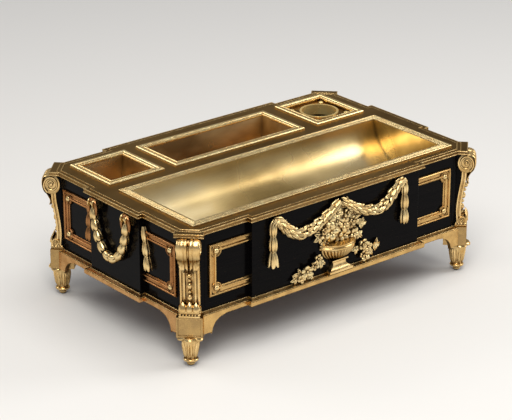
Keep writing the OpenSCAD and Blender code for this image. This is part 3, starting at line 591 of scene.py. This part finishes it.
def garland():
    """Two swags from a knot in the middle to a loop at each side, and a drop under each loop."""
    shape = Shape()
    dice = random.Random(5)
    y = -FRONT_FACE - ROPE_OUT
    for side in (-1, 1):
        def at(t):
            return (side * SWAG_HALF * t, y, swag_height(t))
        steps = 14
        outer = [(side * LOOP[0], y, LOOP[1])]
        outer += [at(0.97 - (0.97 - SWAG_TURN + 0.02) * i / steps) for i in range(steps + 1)]
        inner = [at(0.03 + (SWAG_TURN - 0.01) * i / steps) for i in range(steps + 1)]
        leaf_rope(shape, Route(outer, (0, -1, 0)), dice, lambda s: 4.0 + min(1.0, 0.06 * s), 6.0, 9.4)
        leaf_rope(shape, Route(inner, (0, -1, 0)), dice, lambda s: 3.5 + min(1.3, 0.04 * s), 5.8, 9.0)
        fall = Route([(side * LOOP[0], y, LOOP[1]), (side * (DROP_X - 0.4), y, LOOP[1] - 3),
                      (side * DROP_X, y - 0.4, LOOP[1] - 8), (side * DROP_X, y - 0.6, PLATE_Z - 46.8)], (0, -1, 0))
        hanging_drop(shape, fall, (2.7, 3.3, 3.7), (-0.8, -0.9, 0.9 if side < 0 else -1.1))
        cap = Route([(side * (LOOP[0] - 4), y - 1, LOOP[1] - 5), (side * (LOOP[0] - 2), y - 1.2, LOOP[1] - 1),
                     (side * (LOOP[0] + 0.6), y - 1.2, LOOP[1] - 0.4), (side * (DROP_X - 0.2), y - 1, LOOP[1] - 4)],
                    (0, -1, 0))
        for turn in (-60, 0, 60):
            petal(shape, cap, 0, cap.length, turn, 42, lambda u: 2.7, spread_leaf, swell=0.7, rib=-0.4)
    return shape


# Flowers and the basket


def blade(shape, place, length, width, fold, curl=0.25, thick=0.6, rows=10, columns=6):
    """A closed leaf with a lobed edge from the origin of place along its X, with its face to Z."""
    rings = []
    for i in range(rows + 1):
        u = i / rows
        wide = width / 2 * spread_leaf(u) * (1 + 0.22 * math.cos(4 * math.pi * u + 2.4))
        top, under = [], []
        for j in range(columns + 1):
            v = 2 * j / columns - 1
            height = fold * abs(v) * wide + curl * length * (u - u * u) + 0.35 * (1 - v * v)
            height -= 0.3 * math.exp(-(v / 0.18) ** 2)
            top.append(place @ Vector((length * u, wide * v, height)))
            if 0 < j < columns:
                under.append(place @ Vector((length * u, wide * v, height - thick * (1 - v * v) - 0.15)))
        rings.append(top + under[::-1])
    shape.loft(rings)


def spot(x, z, out, turn, tilt):
    """Frame on the front panel: Z outward from it, and X turned from the right hand in its plane."""
    lean = rotation(tilt[0], "X") @ rotation(tilt[1], "Y")
    return Matrix.Translation((x, -FRONT_FACE - out, z)) @ rotation(90, "X") @ lean @ rotation(turn)


def open_flower(shape, place, radius, petals=5, lean=18.0):
    """Round petals that lie apart round a small heart."""
    for k in range(petals):
        turned = place @ rotation(360 * k / petals)
        slope = (turned @ rotation(-lean, "Y")).to_3x3()
        centre = turned @ Vector((0.58 * radius, 0, 0.5 + 0.25 * (k % 2)))
        shape.ball(centre, (0.47 * radius, 0.40 * radius, 0.21 * radius), 7, slope)
    shape.ball(place @ Vector((0, 0, 1.0)), (0.19 * radius,) * 3, 6)


def rosebud(shape, place, radius):
    """A half-open rose: an outer ring of petals, and an inner one that stands up round its heart."""
    open_flower(shape, place, radius, 5, 30.0)
    inner = place @ Matrix.Translation((0, 0, 0.30 * radius)) @ Matrix.Rotation(0.6, 4, "Z")
    open_flower(shape, inner, 0.62 * radius, 3, 38.0)


def leaf_fan(shape, place, size):
    """Three pointed leaves from one stem."""
    for turn in (-58, 0, 58):
        turned = place @ rotation(turn)
        long = size * (1.7 if turn == 0 else 1.4)
        blade(shape, turned @ Matrix.Translation((-0.25 * size, 0, 0)), long, size * 0.86, fold=0.45)


# Flowers on the front panel: kind, distance from its middle, height over the base moulding, radius, turn
FLOWERS = [
    ("open", -12.1, 50.3, 5.6, 10), ("bud", 8.7, 53.7, 4.9, 0), ("bud", 16.4, 44.1, 4.3, 40),
    ("leaves", 25.0, 37.8, 5.6, -8), ("open", 4.6, 43.2, 5.3, 40), ("leaves", -20.0, 47.6, 5.2, 150),
    ("leaves", -22.4, 37.4, 5.4, 205), ("open", -10.3, 38.9, 6.0, 70), ("open", 4.8, 32.6, 5.4, 20),
    ("open", 16.6, 30.6, 4.8, 50), ("open", -3.2, 55.2, 4.4, 55), ("leaves", 0.5, 60.0, 4.0, 95),
    ("bud", -2.6, 47.6, 3.6, 10), ("leaves", 13.0, 37.2, 4.6, -30), ("leaves", -16.5, 30.2, 4.6, 235),
    ("leaves", 23.0, 28.6, 4.8, -50), ("leaves", 15.5, 24.6, 4.6, -70), ("bud", -18.2, 42.4, 3.2, 0),
    ("leaves", -6.8, 58.4, 4.0, 130), ("leaves", 16.0, 50.6, 4.4, 40), ("bud", 11.0, 26.4, 3.2, 20),
    ("bud", 27.4, 17.6, 4.8, 0), ("leaves", 42.0, 12.4, 6.4, -8), ("bud", 29.8, 6.4, 4.6, 30),
    ("leaves", 20.4, 15.6, 4.6, -95), ("open", 33.6, 13.4, 4.0, 15), ("leaves", 37.6, 7.4, 3.6, -50),
    ("bud", -24.8, 17.6, 3.8, 0), ("bud", -28.2, 12.6, 3.9, 40), ("leaves", -20.0, 13.4, 4.4, -100),
    ("open", -37.6, 9.2, 5.2, 25), ("leaves", -44.6, 8.4, 4.8, 170), ("leaves", -49.4, 5.0, 4.6, 190),
    ("leaves", -33.6, 4.6, 4.2, -60), ("open", -44.0, 4.0, 3.4, 60),
]


# Leaves under the flowers: how many, the middle of the heap over the base moulding, and its reach
# to the sides, up and down
HEAP_LEAVES = 46
HEAP_Z = 40.5
HEAP_WIDE, HEAP_UP, HEAP_DOWN = 22.5, 21.0, 13.0


def bouquet():
    """Blossoms, buds and leaves heaped on the basket and falling to each side of it."""
    shape = Shape()
    dice = random.Random(11)
    shape.ball((0, -FRONT_FACE - 0.3, RAIL_TOP + 39.5), (19.0, 2.6, 17.5), 10)
    for k in range(HEAP_LEAVES):
        around, far = 2.4 * k, math.sqrt((k + 0.5) / HEAP_LEAVES)
        x = HEAP_WIDE * far * math.cos(around)
        z = RAIL_TOP + HEAP_Z + (HEAP_UP if math.sin(around) > 0 else HEAP_DOWN) * far * math.sin(around)
        turn = math.degrees(around) + 60 * (dice.random() - 0.5)
        place = spot(x, z, 2.6 - 1.8 * far, turn, (30 * (dice.random() - 0.5), 30 * (dice.random() - 0.5)))
        blade(shape, place, 6.4 + 1.6 * dice.random(), 4.4, fold=0.5)
    for kind, x, height, radius, turn in FLOWERS:
        tilt = (22 * (dice.random() - 0.6), 22 * (dice.random() - 0.5))
        z = RAIL_TOP + height
        if kind == "leaves":
            leaf_fan(shape, spot(x, z, 1.2, turn, tilt), radius)
            continue
        shape.ball((x, -FRONT_FACE - 0.6, z), (radius * 0.6, 2.4, radius * 0.6), 6)
        bloom = open_flower if kind == "open" else rosebud
        bloom(shape, spot(x, z, 2.8, turn, tilt), radius * 1.2)
    return shape


BASKET_SINK = 12.0
BASKET_RIM = 21.0
FLUTES = 15


def basket():
    """Fluted bowl in relief on a stepped square foot."""
    shape = Shape()
    levels = [(7.4, 12.0, 0.2), (9.6, 12.5, 0.6), (12.4, 13.4, 1.0), (15.0, 14.8, 1.0), (17.2, 16.8, 1.0),
              (18.8, 19.2, 1.0), (19.7, 21.4, 1.0), (20.0, 22.6, 1.0), (20.0, 23.0, 0.0), (20.6, 23.2, 0.0),
              (BASKET_RIM - 0.1, 23.8, 0.0), (BASKET_RIM - 0.1, 24.8, 0.0), (BASKET_RIM - 0.5, 25.5, 0.0),
              (BASKET_RIM - 1.0, 25.9, 0.0), (BASKET_RIM - 0.5, 26.6, 0.0), (BASKET_RIM - 0.7, 27.8, 0.0),
              (18.5, 28.2, 0.0)]
    rings = []
    columns = 104
    back = 1 - FRONT_FACE
    for half, height, fluted in levels:
        reach = math.hypot(half, BASKET_SINK)
        limit = math.acos(BASKET_SINK / reach)
        ring = []
        for j in range(columns + 1):
            angle = limit * (2 * j / columns - 1)
            wave = abs(math.cos(FLUTES * 0.5 * math.pi * (2 * j / columns - 1)))
            r = reach + fluted * 1.7 * (wave ** 0.7 - 0.75)
            ring.append((r * math.sin(angle), -FRONT_FACE + BASKET_SINK - r * math.cos(angle), RAIL_TOP + height))
        ring += [(half, back, RAIL_TOP + height), (-half, back, RAIL_TOP + height)]
        rings.append(ring)
    shape.loft(rings)
    foot = [(13.6, 6.4, 0.0), (13.6, 6.4, 1.9), (12.4, 5.4, 2.5), (9.0, 4.0, 4.2), (7.2, 3.2, 7.0), (7.4, 3.3, 9.0),
            (9.2, 4.6, 10.2), (9.2, 4.6, 11.4)]
    shape.loft([[(-w, back, RAIL_TOP + h), (-w, -FRONT_FACE - d, RAIL_TOP + h), (w, -FRONT_FACE - d, RAIL_TOP + h),
                 (w, back, RAIL_TOP + h)] for w, d, h in foot])
    return shape


# Consoles and feet, with X outward from the canted corner and Z up

CUT = 11.6
CORNER_X = -box("corner_posts")[0].x - CUT / 2
CORNER_Y = -box("corner_posts")[0].y - CUT / 2


def corner_place(name):
    """Frame of a canted corner face."""
    side_y, side_x = name.split("_")
    sx, sy = (-1 if side_x == "left" else 1), (-1 if side_y == "front" else 1)
    return Matrix.Translation((sx * CORNER_X, sy * CORNER_Y, 0)) @ Matrix.Rotation(math.atan2(sy, sx), 4, "Z")


SHAFT_HALF = 8.5
VOLUTE_HALF = 10.2
VOLUTE = (8.7, PLATE_Z - 9.7)
VOLUTE_R = 8.0
VOLUTE_TALL = 1.16
SCROLL = (6.7, RAIL_TOP + 5.3)
SCROLL_R = 4.6
# Back edge of the shaft, from its foot to the volute: distance from the corner and height
SHAFT_BACK = [(2.2, RAIL_TOP + 2.0), (1.6, RAIL_TOP + 8), (1.1, RAIL_TOP + 15), (1.5, RAIL_TOP + 23),
              (2.4, RAIL_TOP + 31), (3.5, RAIL_TOP + 38.5), (4.5, RAIL_TOP + 44.5), (5.0, RAIL_TOP + 50),
              (5.2, RAIL_TOP + 57)]
SHAFT_TALL = SHAFT_BACK[-1][1] - SHAFT_BACK[0][1]
SHAFT_T = 4.4
WEB_HALF = 7.2
PEARL = 2.6


def spiral(shape, centre, start, end, turns, from_angle, y, side, wide, tall=1.0):
    """Raised ribbon that winds inward on a volute's side."""
    steps = int(26 * turns)
    rings = []
    for i in range(steps + 1):
        t = i / steps
        a = math.radians(from_angle) + 2 * math.pi * turns * t
        r = start + (end - start) * t
        w = wide * (1 - 0.45 * t)
        ray = Vector((math.cos(a), 0, tall * math.sin(a)))
        mid = Vector((centre[0], 0, centre[1]))
        ring = []
        for across, up in ((-0.5, -0.8), (-0.5, 0.5), (-0.2, 1.0), (0.2, 1.0), (0.5, 0.5), (0.5, -0.8)):
            ring.append(mid + ray * (r + across * w) + Vector((0, side * (y + up), 0)))
        rings.append(ring)
    shape.loft(rings)


def drum(shape, centre, radius, half, tall=1.0):
    """Cylinder across the console with rounded rims."""
    rings = []
    for y, r in ((-half, radius - 0.5), (-half + 0.4, radius), (half - 0.4, radius), (half, radius - 0.5)):
        rings.append([(centre[0] + r * math.cos(a), y, centre[1] + tall * r * math.sin(a)) for a in angles(40)])
    shape.loft(rings)


def slab(shape, near, far, half, low, high):
    """Block across the console, between two distances from the corner and two heights."""
    outline = [(near, -half), (far, -half), (far, half), (near, half)]
    shape.loft([[(x, y, z) for x, y in outline] for z in (low, high)])


# Front line of the leaf over the volute, from its root to its tips: distance from the corner and height
LEAF_LINE = [(6.8, PLATE_Z - 0.9), (12.2, PLATE_Z - 0.9), (15.8, PLATE_Z - 3.0), (17.0, PLATE_Z - 7.5),
             (16.8, PLATE_Z - 12.0), (15.4, PLATE_Z - 16.0), (13.0, PLATE_Z - 19.2), (11.2, PLATE_Z - 22.4),
             (10.4, PLATE_Z - 25.4), (10.4, PLATE_Z - 28.2), (11.4, PLATE_Z - 30.6)]


def leaf_relief(v, u):
    """Height of the leaf's surface across it at the share u of its length: a deep groove and two each side."""
    fold = 1.1 - 2.1 * math.exp(-(v / 0.085) ** 2)
    fold -= (0.35 + 0.75 * u) * math.exp(-((abs(v) - 0.40) / 0.055) ** 2)
    fold -= 0.7 * u * math.exp(-((abs(v) - 0.72) / 0.06) ** 2)
    return fold * (1 - abs(v) ** 6) - 0.2


def acanthus(shape):
    """Leaf over the front of the volute, with three tips below."""
    rows, columns = 38, 52
    rings = []
    for i in range(rows + 1):
        u = i / rows
        top, under = [], []
        for j in range(columns + 1):
            v = 2 * j / columns - 1
            notch = 0.16 * (0.5 - 0.5 * math.cos(3 * math.pi * (v + 1))) - 0.16
            s = min(0.999, u * (1 + notch * u ** 3))
            here, ahead, behind = (along_points(LEAF_LINE, min(0.999, max(0.0, s + d))) for d in (0.0, 0.02, -0.02))
            along = Vector((ahead[0] - behind[0], ahead[1] - behind[1])).normalized()
            out = Vector((-along.y, along.x))
            wide = (VOLUTE_HALF - 0.2) * (1 - 0.20 * max(0.0, u - 0.4) / 0.6)
            wide *= 1 + 0.035 * math.sin(9 * math.pi * u)
            lift, depth = leaf_relief(v, u), 1.1 * (1 - abs(v) ** 6)
            top.append(Vector((here[0] + out.x * lift, wide * v, here[1] + out.y * lift)))
            if 0 < j < columns:
                under.append(Vector((here[0] - out.x * depth, wide * v, here[1] - out.y * depth)))
        rings.append(top + under[::-1])
    shape.loft(rings)


def console():
    """Scrolled console: a channelled shaft with a string of beads between two volutes."""
    shape = Shape()
    half = SHAFT_HALF
    groove = [(0.0, 0.0), (0.0, 1.2), (0.8, 1.6), (0.8, 2.4), (0.0, 2.8)]
    section = [(0.0, -0.6), (0.4, 0.0), (1.5, 0.0), (1.9, -1.2), (2.5, -1.2), (2.9, -0.5), (4.5, -0.5), (5.1, -2.8)]
    rings = []
    for back, z in smooth_line(SHAFT_BACK, 24):
        front = back + SHAFT_T
        sides = [(back + d, half - w, z) for w, d in groove]
        ring = [(x, -y, z) for x, y, z in sides] + [(front + d, -half + w, z) for w, d in section]
        ring += [(front + d, half - w, z) for w, d in reversed(section)] + sides[::-1]
        rings.append(ring)
    shape.loft(rings)
    drum(shape, VOLUTE, VOLUTE_R, VOLUTE_HALF - 1.4, VOLUTE_TALL)
    drum(shape, SCROLL, SCROLL_R, half - 0.2)
    for side in (-1, 1):
        spiral(shape, VOLUTE, VOLUTE_R - 0.8, 2.2, 1.6, -60, VOLUTE_HALF - 1.4, side, 2.0, VOLUTE_TALL)
        shape.ball((VOLUTE[0], side * (VOLUTE_HALF - 0.7), VOLUTE[1]), (1.7, 1.1, 1.7), 7)
        spiral(shape, SCROLL, SCROLL_R - 0.5, 1.6, 1.3, 60, half - 0.2, side, 1.1)
        shape.ball((SCROLL[0], side * (half - 0.1), SCROLL[1]), (1.1, 0.8, 1.1), 6)
    slab(shape, 4.0, 9.0, half, PLATE_Z - 8, PLATE_Z - 0.05)
    acanthus(shape)
    # String of round beads and long ones in the channel, from the top down
    fall = PLATE_Z - 31.5
    for k in range(7):
        wide, tall = (2.4, 2.4) if k == 0 else ((1.7, 1.7) if k % 2 else (2.1, 3.4))
        z = fall - tall
        back = along_points(SHAFT_BACK, min(0.999, max(0.0, (z - SHAFT_BACK[0][1]) / SHAFT_TALL)))[0]
        shape.ball((back + SHAFT_T + 0.3, 0, z), (wide * 1.2, wide, tall), 8)
        fall -= 2 * tall + 0.5
    for y in (-5.6, 0, 5.6):
        cup = Route([(SCROLL[0] + 1, y, SCROLL[1]), (SCROLL[0] + 1, y, SCROLL[1] + 9)], (1, 0, 0))
        petal(shape, cup, 0.0, 8.4, 0, 58, lambda u: 4.4 - 3.0 * u * u, spread_leaf, swell=0.6, rib=-0.3)
    slab(shape, 0.0, 11.2, half + 0.6, RAIL_TOP, RAIL_TOP + 1.4)
    # Pearls round the base plate
    for k in range(7):
        shape.ball((10.3, PEARL * (k - 3), RAIL_TOP + 2.2), (1.3, 1.2, 1.2), 6)
    for side in (-1, 1):
        for k in range(4):
            shape.ball((1.3 + PEARL * k, side * (half - 0.3), RAIL_TOP + 2.2), (1.2, 1.2, 1.2), 6)
    return shape


def console_web():
    """Black web in the ebony finish between a console's shaft and the corner post."""
    shape = Shape()
    rings = []
    for back, z in smooth_line(SHAFT_BACK, 24):
        rings.append([(-0.2, -WEB_HALF, z), (back + 0.6, -WEB_HALF, z), (back + 0.6, WEB_HALF, z),
                      (-0.2, WEB_HALF, z)])
    shape.loft(rings)
    slab(shape, -0.2, 6.0, WEB_HALF, PLATE_Z - 14, PLATE_Z - 0.05)
    return shape


FOOT_OUT = 3.4
# Outline of the foot from the ball up: radius and height
FOOT_PROFILE = [(1.4, 0.0), (2.8, 0.8), (3.4, 2.2), (2.8, 3.6), (3.4, 4.2), (6.0, 4.8), (6.5, 5.8), (6.1, 6.8),
                (4.6, 7.6), (4.6, 8.6), (5.4, 12.5), (6.5, 17.5), (7.4, 22.0), (7.9, 24.5), (8.2, 26.4),
                (8.6, 27.6), (9.8, BLOCK_LOW)]


def foot():
    """Tapered foot of upright leaves under a wavy collar, with a disc and a small ball below."""
    shape = Shape()
    rings = []
    for r, z in smooth_line(FOOT_PROFILE, 48):
        rings.append([(FOOT_OUT + r * math.cos(a), r * math.sin(a), min(z, BLOCK_LOW)) for a in angles(40)])
    shape.loft(rings)
    collar = [(5.0, 0.0, 28.9), (10.2, 1.4, 28.9), (11.1, 1.9, 28.3), (10.9, 2.0, 27.2), (9.0, 1.6, 26.2),
              (6.0, 0.0, 25.8)]
    rings = []
    for r, wave, z in collar:
        ring = []
        for a in angles(96):
            lobe = abs(math.cos(3 * a)) ** 0.8
            reach = r + wave * (lobe - 0.45)
            drop = 0.7 * wave * lobe if z < 28.8 else 0.0
            ring.append((FOOT_OUT + reach * math.cos(a), reach * math.sin(a), z - drop))
        rings.append(ring)
    shape.loft(rings, closed=True)
    axis = Route([(FOOT_OUT, 0, 0), (FOOT_OUT, 0, BLOCK_LOW)], (1, 0, 0))
    for k in range(6):
        petal(shape, axis, 7.4, 18.6, 60 * k, 26, lambda u: 4.5 + 3.2 * u, spread_leaf, swell=1.8, rib=-1.0,
              rows=12, columns=10)
        petal(shape, axis, 10.0, 16.0, 60 * k + 30, 12, lambda u: 4.7 + 3.1 * u, spread_leaf, swell=1.0)
    return shape


# Distance of an end drop from the middle of its end, at its top and its foot: front one and back one
END_DROPS = {-1: (38.6, 44.8), 1: (39.8, 41.8)}


def end_drop(side):
    """Husks beside the left end panel. The front one leans away from it as it falls."""
    shape = Shape()
    x = box("left_board")[0].x - 1.8
    top, low = END_DROPS[side]
    line = [(x, side * top, PLATE_Z - 8.5), (x, side * low, PLATE_Z - 47.6)]
    hanging_drop(shape, Route(line, (-1, 0, 0)), (2.2, 3.0, 3.4), (-0.6, -0.8, -0.4), petals=4, turn=-5)
    return shape


# Bracket frames, flat with the outer corner at the origin, X along the open arms and Z outward

BAND = 8.2
ROSETTE = (7.4, 6.9)
# How much shorter than the lower arm the top arm is, on the ends
END_ARM_SHORT = 3.5
# Section across the moulding: distance from its outer edge and height
MOULDING = [(0.0, 0.0), (0.0, 1.3), (0.35, 2.0), (0.9, 2.4), (1.6, 2.4), (2.1, 1.9), (2.3, 1.0), (3.0, 0.8),
            (4.6, 0.9), (5.0, 1.3), (5.15, 2.0), (5.6, 2.5), (6.4, 2.5), (6.85, 2.0), (7.0, 1.2), (7.6, 1.1),
            (8.0, 0.8), (BAND, 0.4), (BAND, 0.0)]


def bracket_frame(top_arm, low_arm, height):
    """Moulding of a bracket frame, mitred at its two corners, with a round pad at each."""
    shape = Shape()
    rings = [[(top_arm, height - d, w) for d, w in MOULDING], [(d, height - d, w) for d, w in MOULDING],
             [(d, d, w) for d, w in MOULDING], [(low_arm, d, w) for d, w in MOULDING]]
    shape.loft(rings)
    pad = [(5.7, 0.0), (5.7, 1.2), (5.4, 2.0), (4.9, 2.3), (4.3, 2.0), (4.0, 1.3), (0.5, 1.3)]
    for y in (ROSETTE[1], height - ROSETTE[1]):
        shape.loft([[(ROSETTE[0] + r * math.cos(a), y + r * math.sin(a), w) for a in angles(36)] for r, w in pad])
    return shape


def rosette_pair(height):
    """Domed studs of a bracket frame."""
    shape = Shape()
    for y in (ROSETTE[1], height - ROSETTE[1]):
        shape.ball((ROSETTE[0], y, 1.5), (2.75, 2.75, 2.0), 9)
    return shape


def build_brackets():
    """Bracket frames and their studs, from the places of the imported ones."""
    studs = Shape()
    for name in BRACKETS:
        low, high = box(name)
        across = 0 if name in BRACKETS[:4] else 1
        outer = high[across] if abs(high[across]) > abs(low[across]) else low[across]
        arm = high[across] - low[across]
        away = 1 - across
        face = low[away] if high[away] > 0 else high[away]
        u, w = Vector((0, 0, 0)), Vector((0, 0, 0))
        u[across] = -1 if outer > 0 else 1
        w[away] = 1 if face > 0 else -1
        start = Vector((0, 0, low.z))
        start[across], start[away] = outer, face
        place = Matrix(((u.x, 0, w.x, start.x), (u.y, 0, w.y, start.y), (0, 1, 0, start.z), (0, 0, 0, 1)))
        height = high.z - low.z
        shape = moved(bracket_frame(arm - (END_ARM_SHORT if across else 0), arm, height), place)
        # Frames on the ends take the gilt with painted red shade.
        shape.piece(f"{name}_moulding", "case", GILT_PAINTED_RED_SHADE if across else FRAME_GILT, nodes=[name])
        studs.merged(rosette_pair(height), place)
    studs.piece("bracket_studs", "case", GARLAND_GILT, nodes=["bracket_rosettes"])


# Thin beads on the top plate and the base moulding, and the screws of the inkwell's seat

PLATE_OVER = 3.6
# Distance of each bead from the case, its height and its radius
PLATE_BEADS = [(PLATE_OVER - 0.2, PLATE_Z + 0.6, 0.6), (PLATE_OVER - 0.4, FIELD_Z - 0.7, 0.55),
               (PLATE_OVER - 4.2, FIELD_Z - 0.4, 0.5)]
RAIL_BEADS = [(0.6, RAIL_TOP + 0.3, 0.6), (4.2, RAIL_TOP - 1.2, 0.5)]
# Line of the bead on a square projection over a console: distance from the corner and half width
ABACUS_OUT = 9.2
ABACUS_HALF = 12.2
SCREW_OFF = 18.4


def plate_outline(grow):
    """Outline of the case, grown by a distance, as points in order."""
    half_x, half_y = -box("corner_posts")[0].x, -box("corner_posts")[0].y
    front_half, end_half = box("front_panel")[1].x, box("left_panel")[1].y
    slant = CUT - (math.sqrt(2) - 1) * grow
    quarter = [(END_FACE + grow, end_half + grow), (half_x + grow, end_half + grow),
               (half_x + grow, half_y - slant), (half_x - slant, half_y + grow),
               (front_half + grow, half_y + grow), (front_half + grow, FRONT_FACE + grow)]
    top = quarter + [(-x, y) for x, y in reversed(quarter)]
    return top + [(-x, -y) for x, y in top]


def line_round(shape, points, z, radius):
    """Thin round bead along a closed outline, mitred at its corners."""
    rings = []
    count = len(points)
    for k in range(count):
        a, b, c = (Vector(points[(k + d) % count]) for d in (-1, 0, 1))
        before, after = (b - a).normalized(), (c - b).normalized()
        across = Vector((before.y + after.y, -before.x - after.x)).normalized()
        across *= radius / max(0.3, across.dot(Vector((after.y, -after.x))))
        rings.append([(b.x + across.x * math.cos(t), b.y + across.y * math.cos(t), z + radius * math.sin(t))
                      for t in angles(8)])
    shape.loft(rings, closed=True)


def seat_screws():
    """Domed heads of the screws at the corners of the inkwell's sunk plate."""
    shape = Shape()
    high = box("inkwell_plate")[1]
    ring_low, ring_high = box("inkwell_ring")
    middle = (ring_low + ring_high) / 2
    for sx in (-1, 1):
        for sy in (-1, 1):
            shape.ball((middle.x + SCREW_OFF * sx, middle.y + SCREW_OFF * sy, high.z), (2.5, 2.5, 1.6), 8)
    return shape


def build_pieces():
    """Every carved piece that stands for a plain solid, on the body that the solid is on."""
    half_turn = rotation(180)
    still = Matrix.Identity(4)
    swags, blooms, bowl, bail = garland(), bouquet(), basket(), handle()
    for side, place in (("front", still), ("back", half_turn)):
        for kind, made in (("garland", swags), ("flowers", blooms), ("basket", bowl)):
            paint = {"flowers": FLOWER_GILT, "garland": GARLAND_GILT}.get(kind, GILT)
            moved(made, place).piece(f"{side}_{kind}_carved", "case", paint, nodes=[f"{side}_{kind}"])
    for side, place in (("left", still), ("right", half_turn)):
        moved(bail, place).piece(f"{side}_bail_husks", f"{side}_bail", GARLAND_GILT, nodes=[f"{side}_bail"])
        shape = Shape()
        for end in (-1, 1):
            shape.merged(lug_arch(end), place)
        # The lug leaves take the gilt with painted red shade.
        shape.piece(f"{side}_lug_leaves", "case", GILT_PAINTED_RED_SHADE)
    # The far end drop takes the gilt with painted red shade, and the near one the pale gilt.
    for kind, side, paint in (("near", -1, GARLAND_GILT), ("far", 1, GILT_PAINTED_RED_SHADE)):
        moved(end_drop(side), still, half_turn).piece(f"end_drop_husks_{kind}", "case", paint, nodes=["end_drops"])
    beads = Shape()
    for grow, z, radius in PLATE_BEADS:
        line_round(beads, plate_outline(grow), z, radius)
    for z in (PLATE_Z + 0.7, FIELD_Z - 0.9):
        loop = Shape()
        line_round(loop, [(0, -ABACUS_HALF), (ABACUS_OUT, -ABACUS_HALF), (ABACUS_OUT, ABACUS_HALF),
                          (0, ABACUS_HALF)], z, 0.6)
        for name in CORNERS:
            beads.merged(loop, corner_place(name))
    beads.piece("plate_beads", "case", GILT)
    lines = Shape()
    for grow, z, radius in RAIL_BEADS:
        line_round(lines, plate_outline(grow), z, radius)
    lines.piece("rail_beads", "case", GILT)
    seat_screws().piece("ring_screw_heads", "case", RING, nodes=["ring_screws"])
    build_brackets()
    scroll, leg = console(), foot()
    for name in CORNERS:
        for kind, made in (("console", scroll), ("foot", leg)):
            shape = moved(made, corner_place(name))
            shape.piece(f"{name}_{kind}_carved", "case", GILT, nodes=[f"{name}_{kind}"])
    webs = moved(console_web(), *(corner_place(name) for name in CORNERS))
    webs.piece("console_backs", "case", EBONY, slot="ebonised_wood")


dress_nodes()
build_pieces()

# Stage, light and camera

# The point that every lamp faces
LAMP_AIM = Vector((0, 0, 0.07))


def build_stage():
    """Pale floor under the object."""
    floor = bpy.data.meshes.new("floor")
    half = 14.0
    floor.from_pydata([(-half, -half, 0), (half, -half, 0), (half, half, 0), (-half, half, 0)], [], [(0, 1, 2, 3)])
    made = add_object("floor", floor)
    paint = Paint("floor", specular=0.25)
    floor.materials.append(paint.finish((0.78, 0.765, 0.74), 0.55))


def area_light(name, place, size, power, colour=(1, 1, 1)):
    """Soft rectangular lamp that faces the object."""
    lamp = bpy.data.lights.new(name, "AREA")
    lamp.shape = "RECTANGLE"
    lamp.size, lamp.size_y = size
    lamp.energy = power
    lamp.color = colour
    made = add_object(name, lamp)
    made.location = place
    made.rotation_euler = (LAMP_AIM - Vector(place)).to_track_quat("-Z", "Y").to_euler()


def build_lights():
    """Pale studio: an even light all round, and four lamps."""
    world = bpy.data.worlds.new("studio")
    world.use_nodes = True
    sky = world.node_tree.nodes["Background"].inputs
    sky["Color"].default_value = (0.93, 0.95, 1.0, 1.0)
    sky["Strength"].default_value = 0.32
    bpy.context.scene.world = world
    area_light("key", (-0.9, -1.0, 1.5), (0.8, 0.8), 16, (1.0, 0.97, 0.92))
    area_light("top", (0.0, -0.25, 1.5), (1.3, 0.8), 13, (1.0, 0.98, 0.94))
    area_light("fill", (1.4, -0.8, 0.9), (0.7, 0.9), 9)
    area_light("back", (-1.0, 1.5, 1.4), (1.0, 0.6), 6, (1.0, 0.98, 0.95))


CAMERA_PLACE = Vector((-1.1719, -1.4149, 0.8299))
CAMERA_BACK = (-39.458, 22.451)
CAMERA_LENS = 153.02


def build_camera():
    """The photograph's view: azimuth and elevation in degrees, and the lens in millimetres."""
    azimuth, elevation = (math.radians(a) for a in CAMERA_BACK)
    back = Vector((math.sin(azimuth) * math.cos(elevation), -math.cos(azimuth) * math.cos(elevation),
                   math.sin(elevation)))
    data = bpy.data.cameras.new("camera")
    data.sensor_width = 36.0
    data.sensor_fit = "HORIZONTAL"
    data.lens = CAMERA_LENS
    data.clip_end = 100.0
    made = add_object("camera", data)
    made.location = CAMERA_PLACE
    made.rotation_euler = (-back).to_track_quat("-Z", "Y").to_euler()
    bpy.context.scene.camera = made


build_stage()
build_lights()
build_camera()
bpy.context.scene.view_settings.view_transform = "Standard"
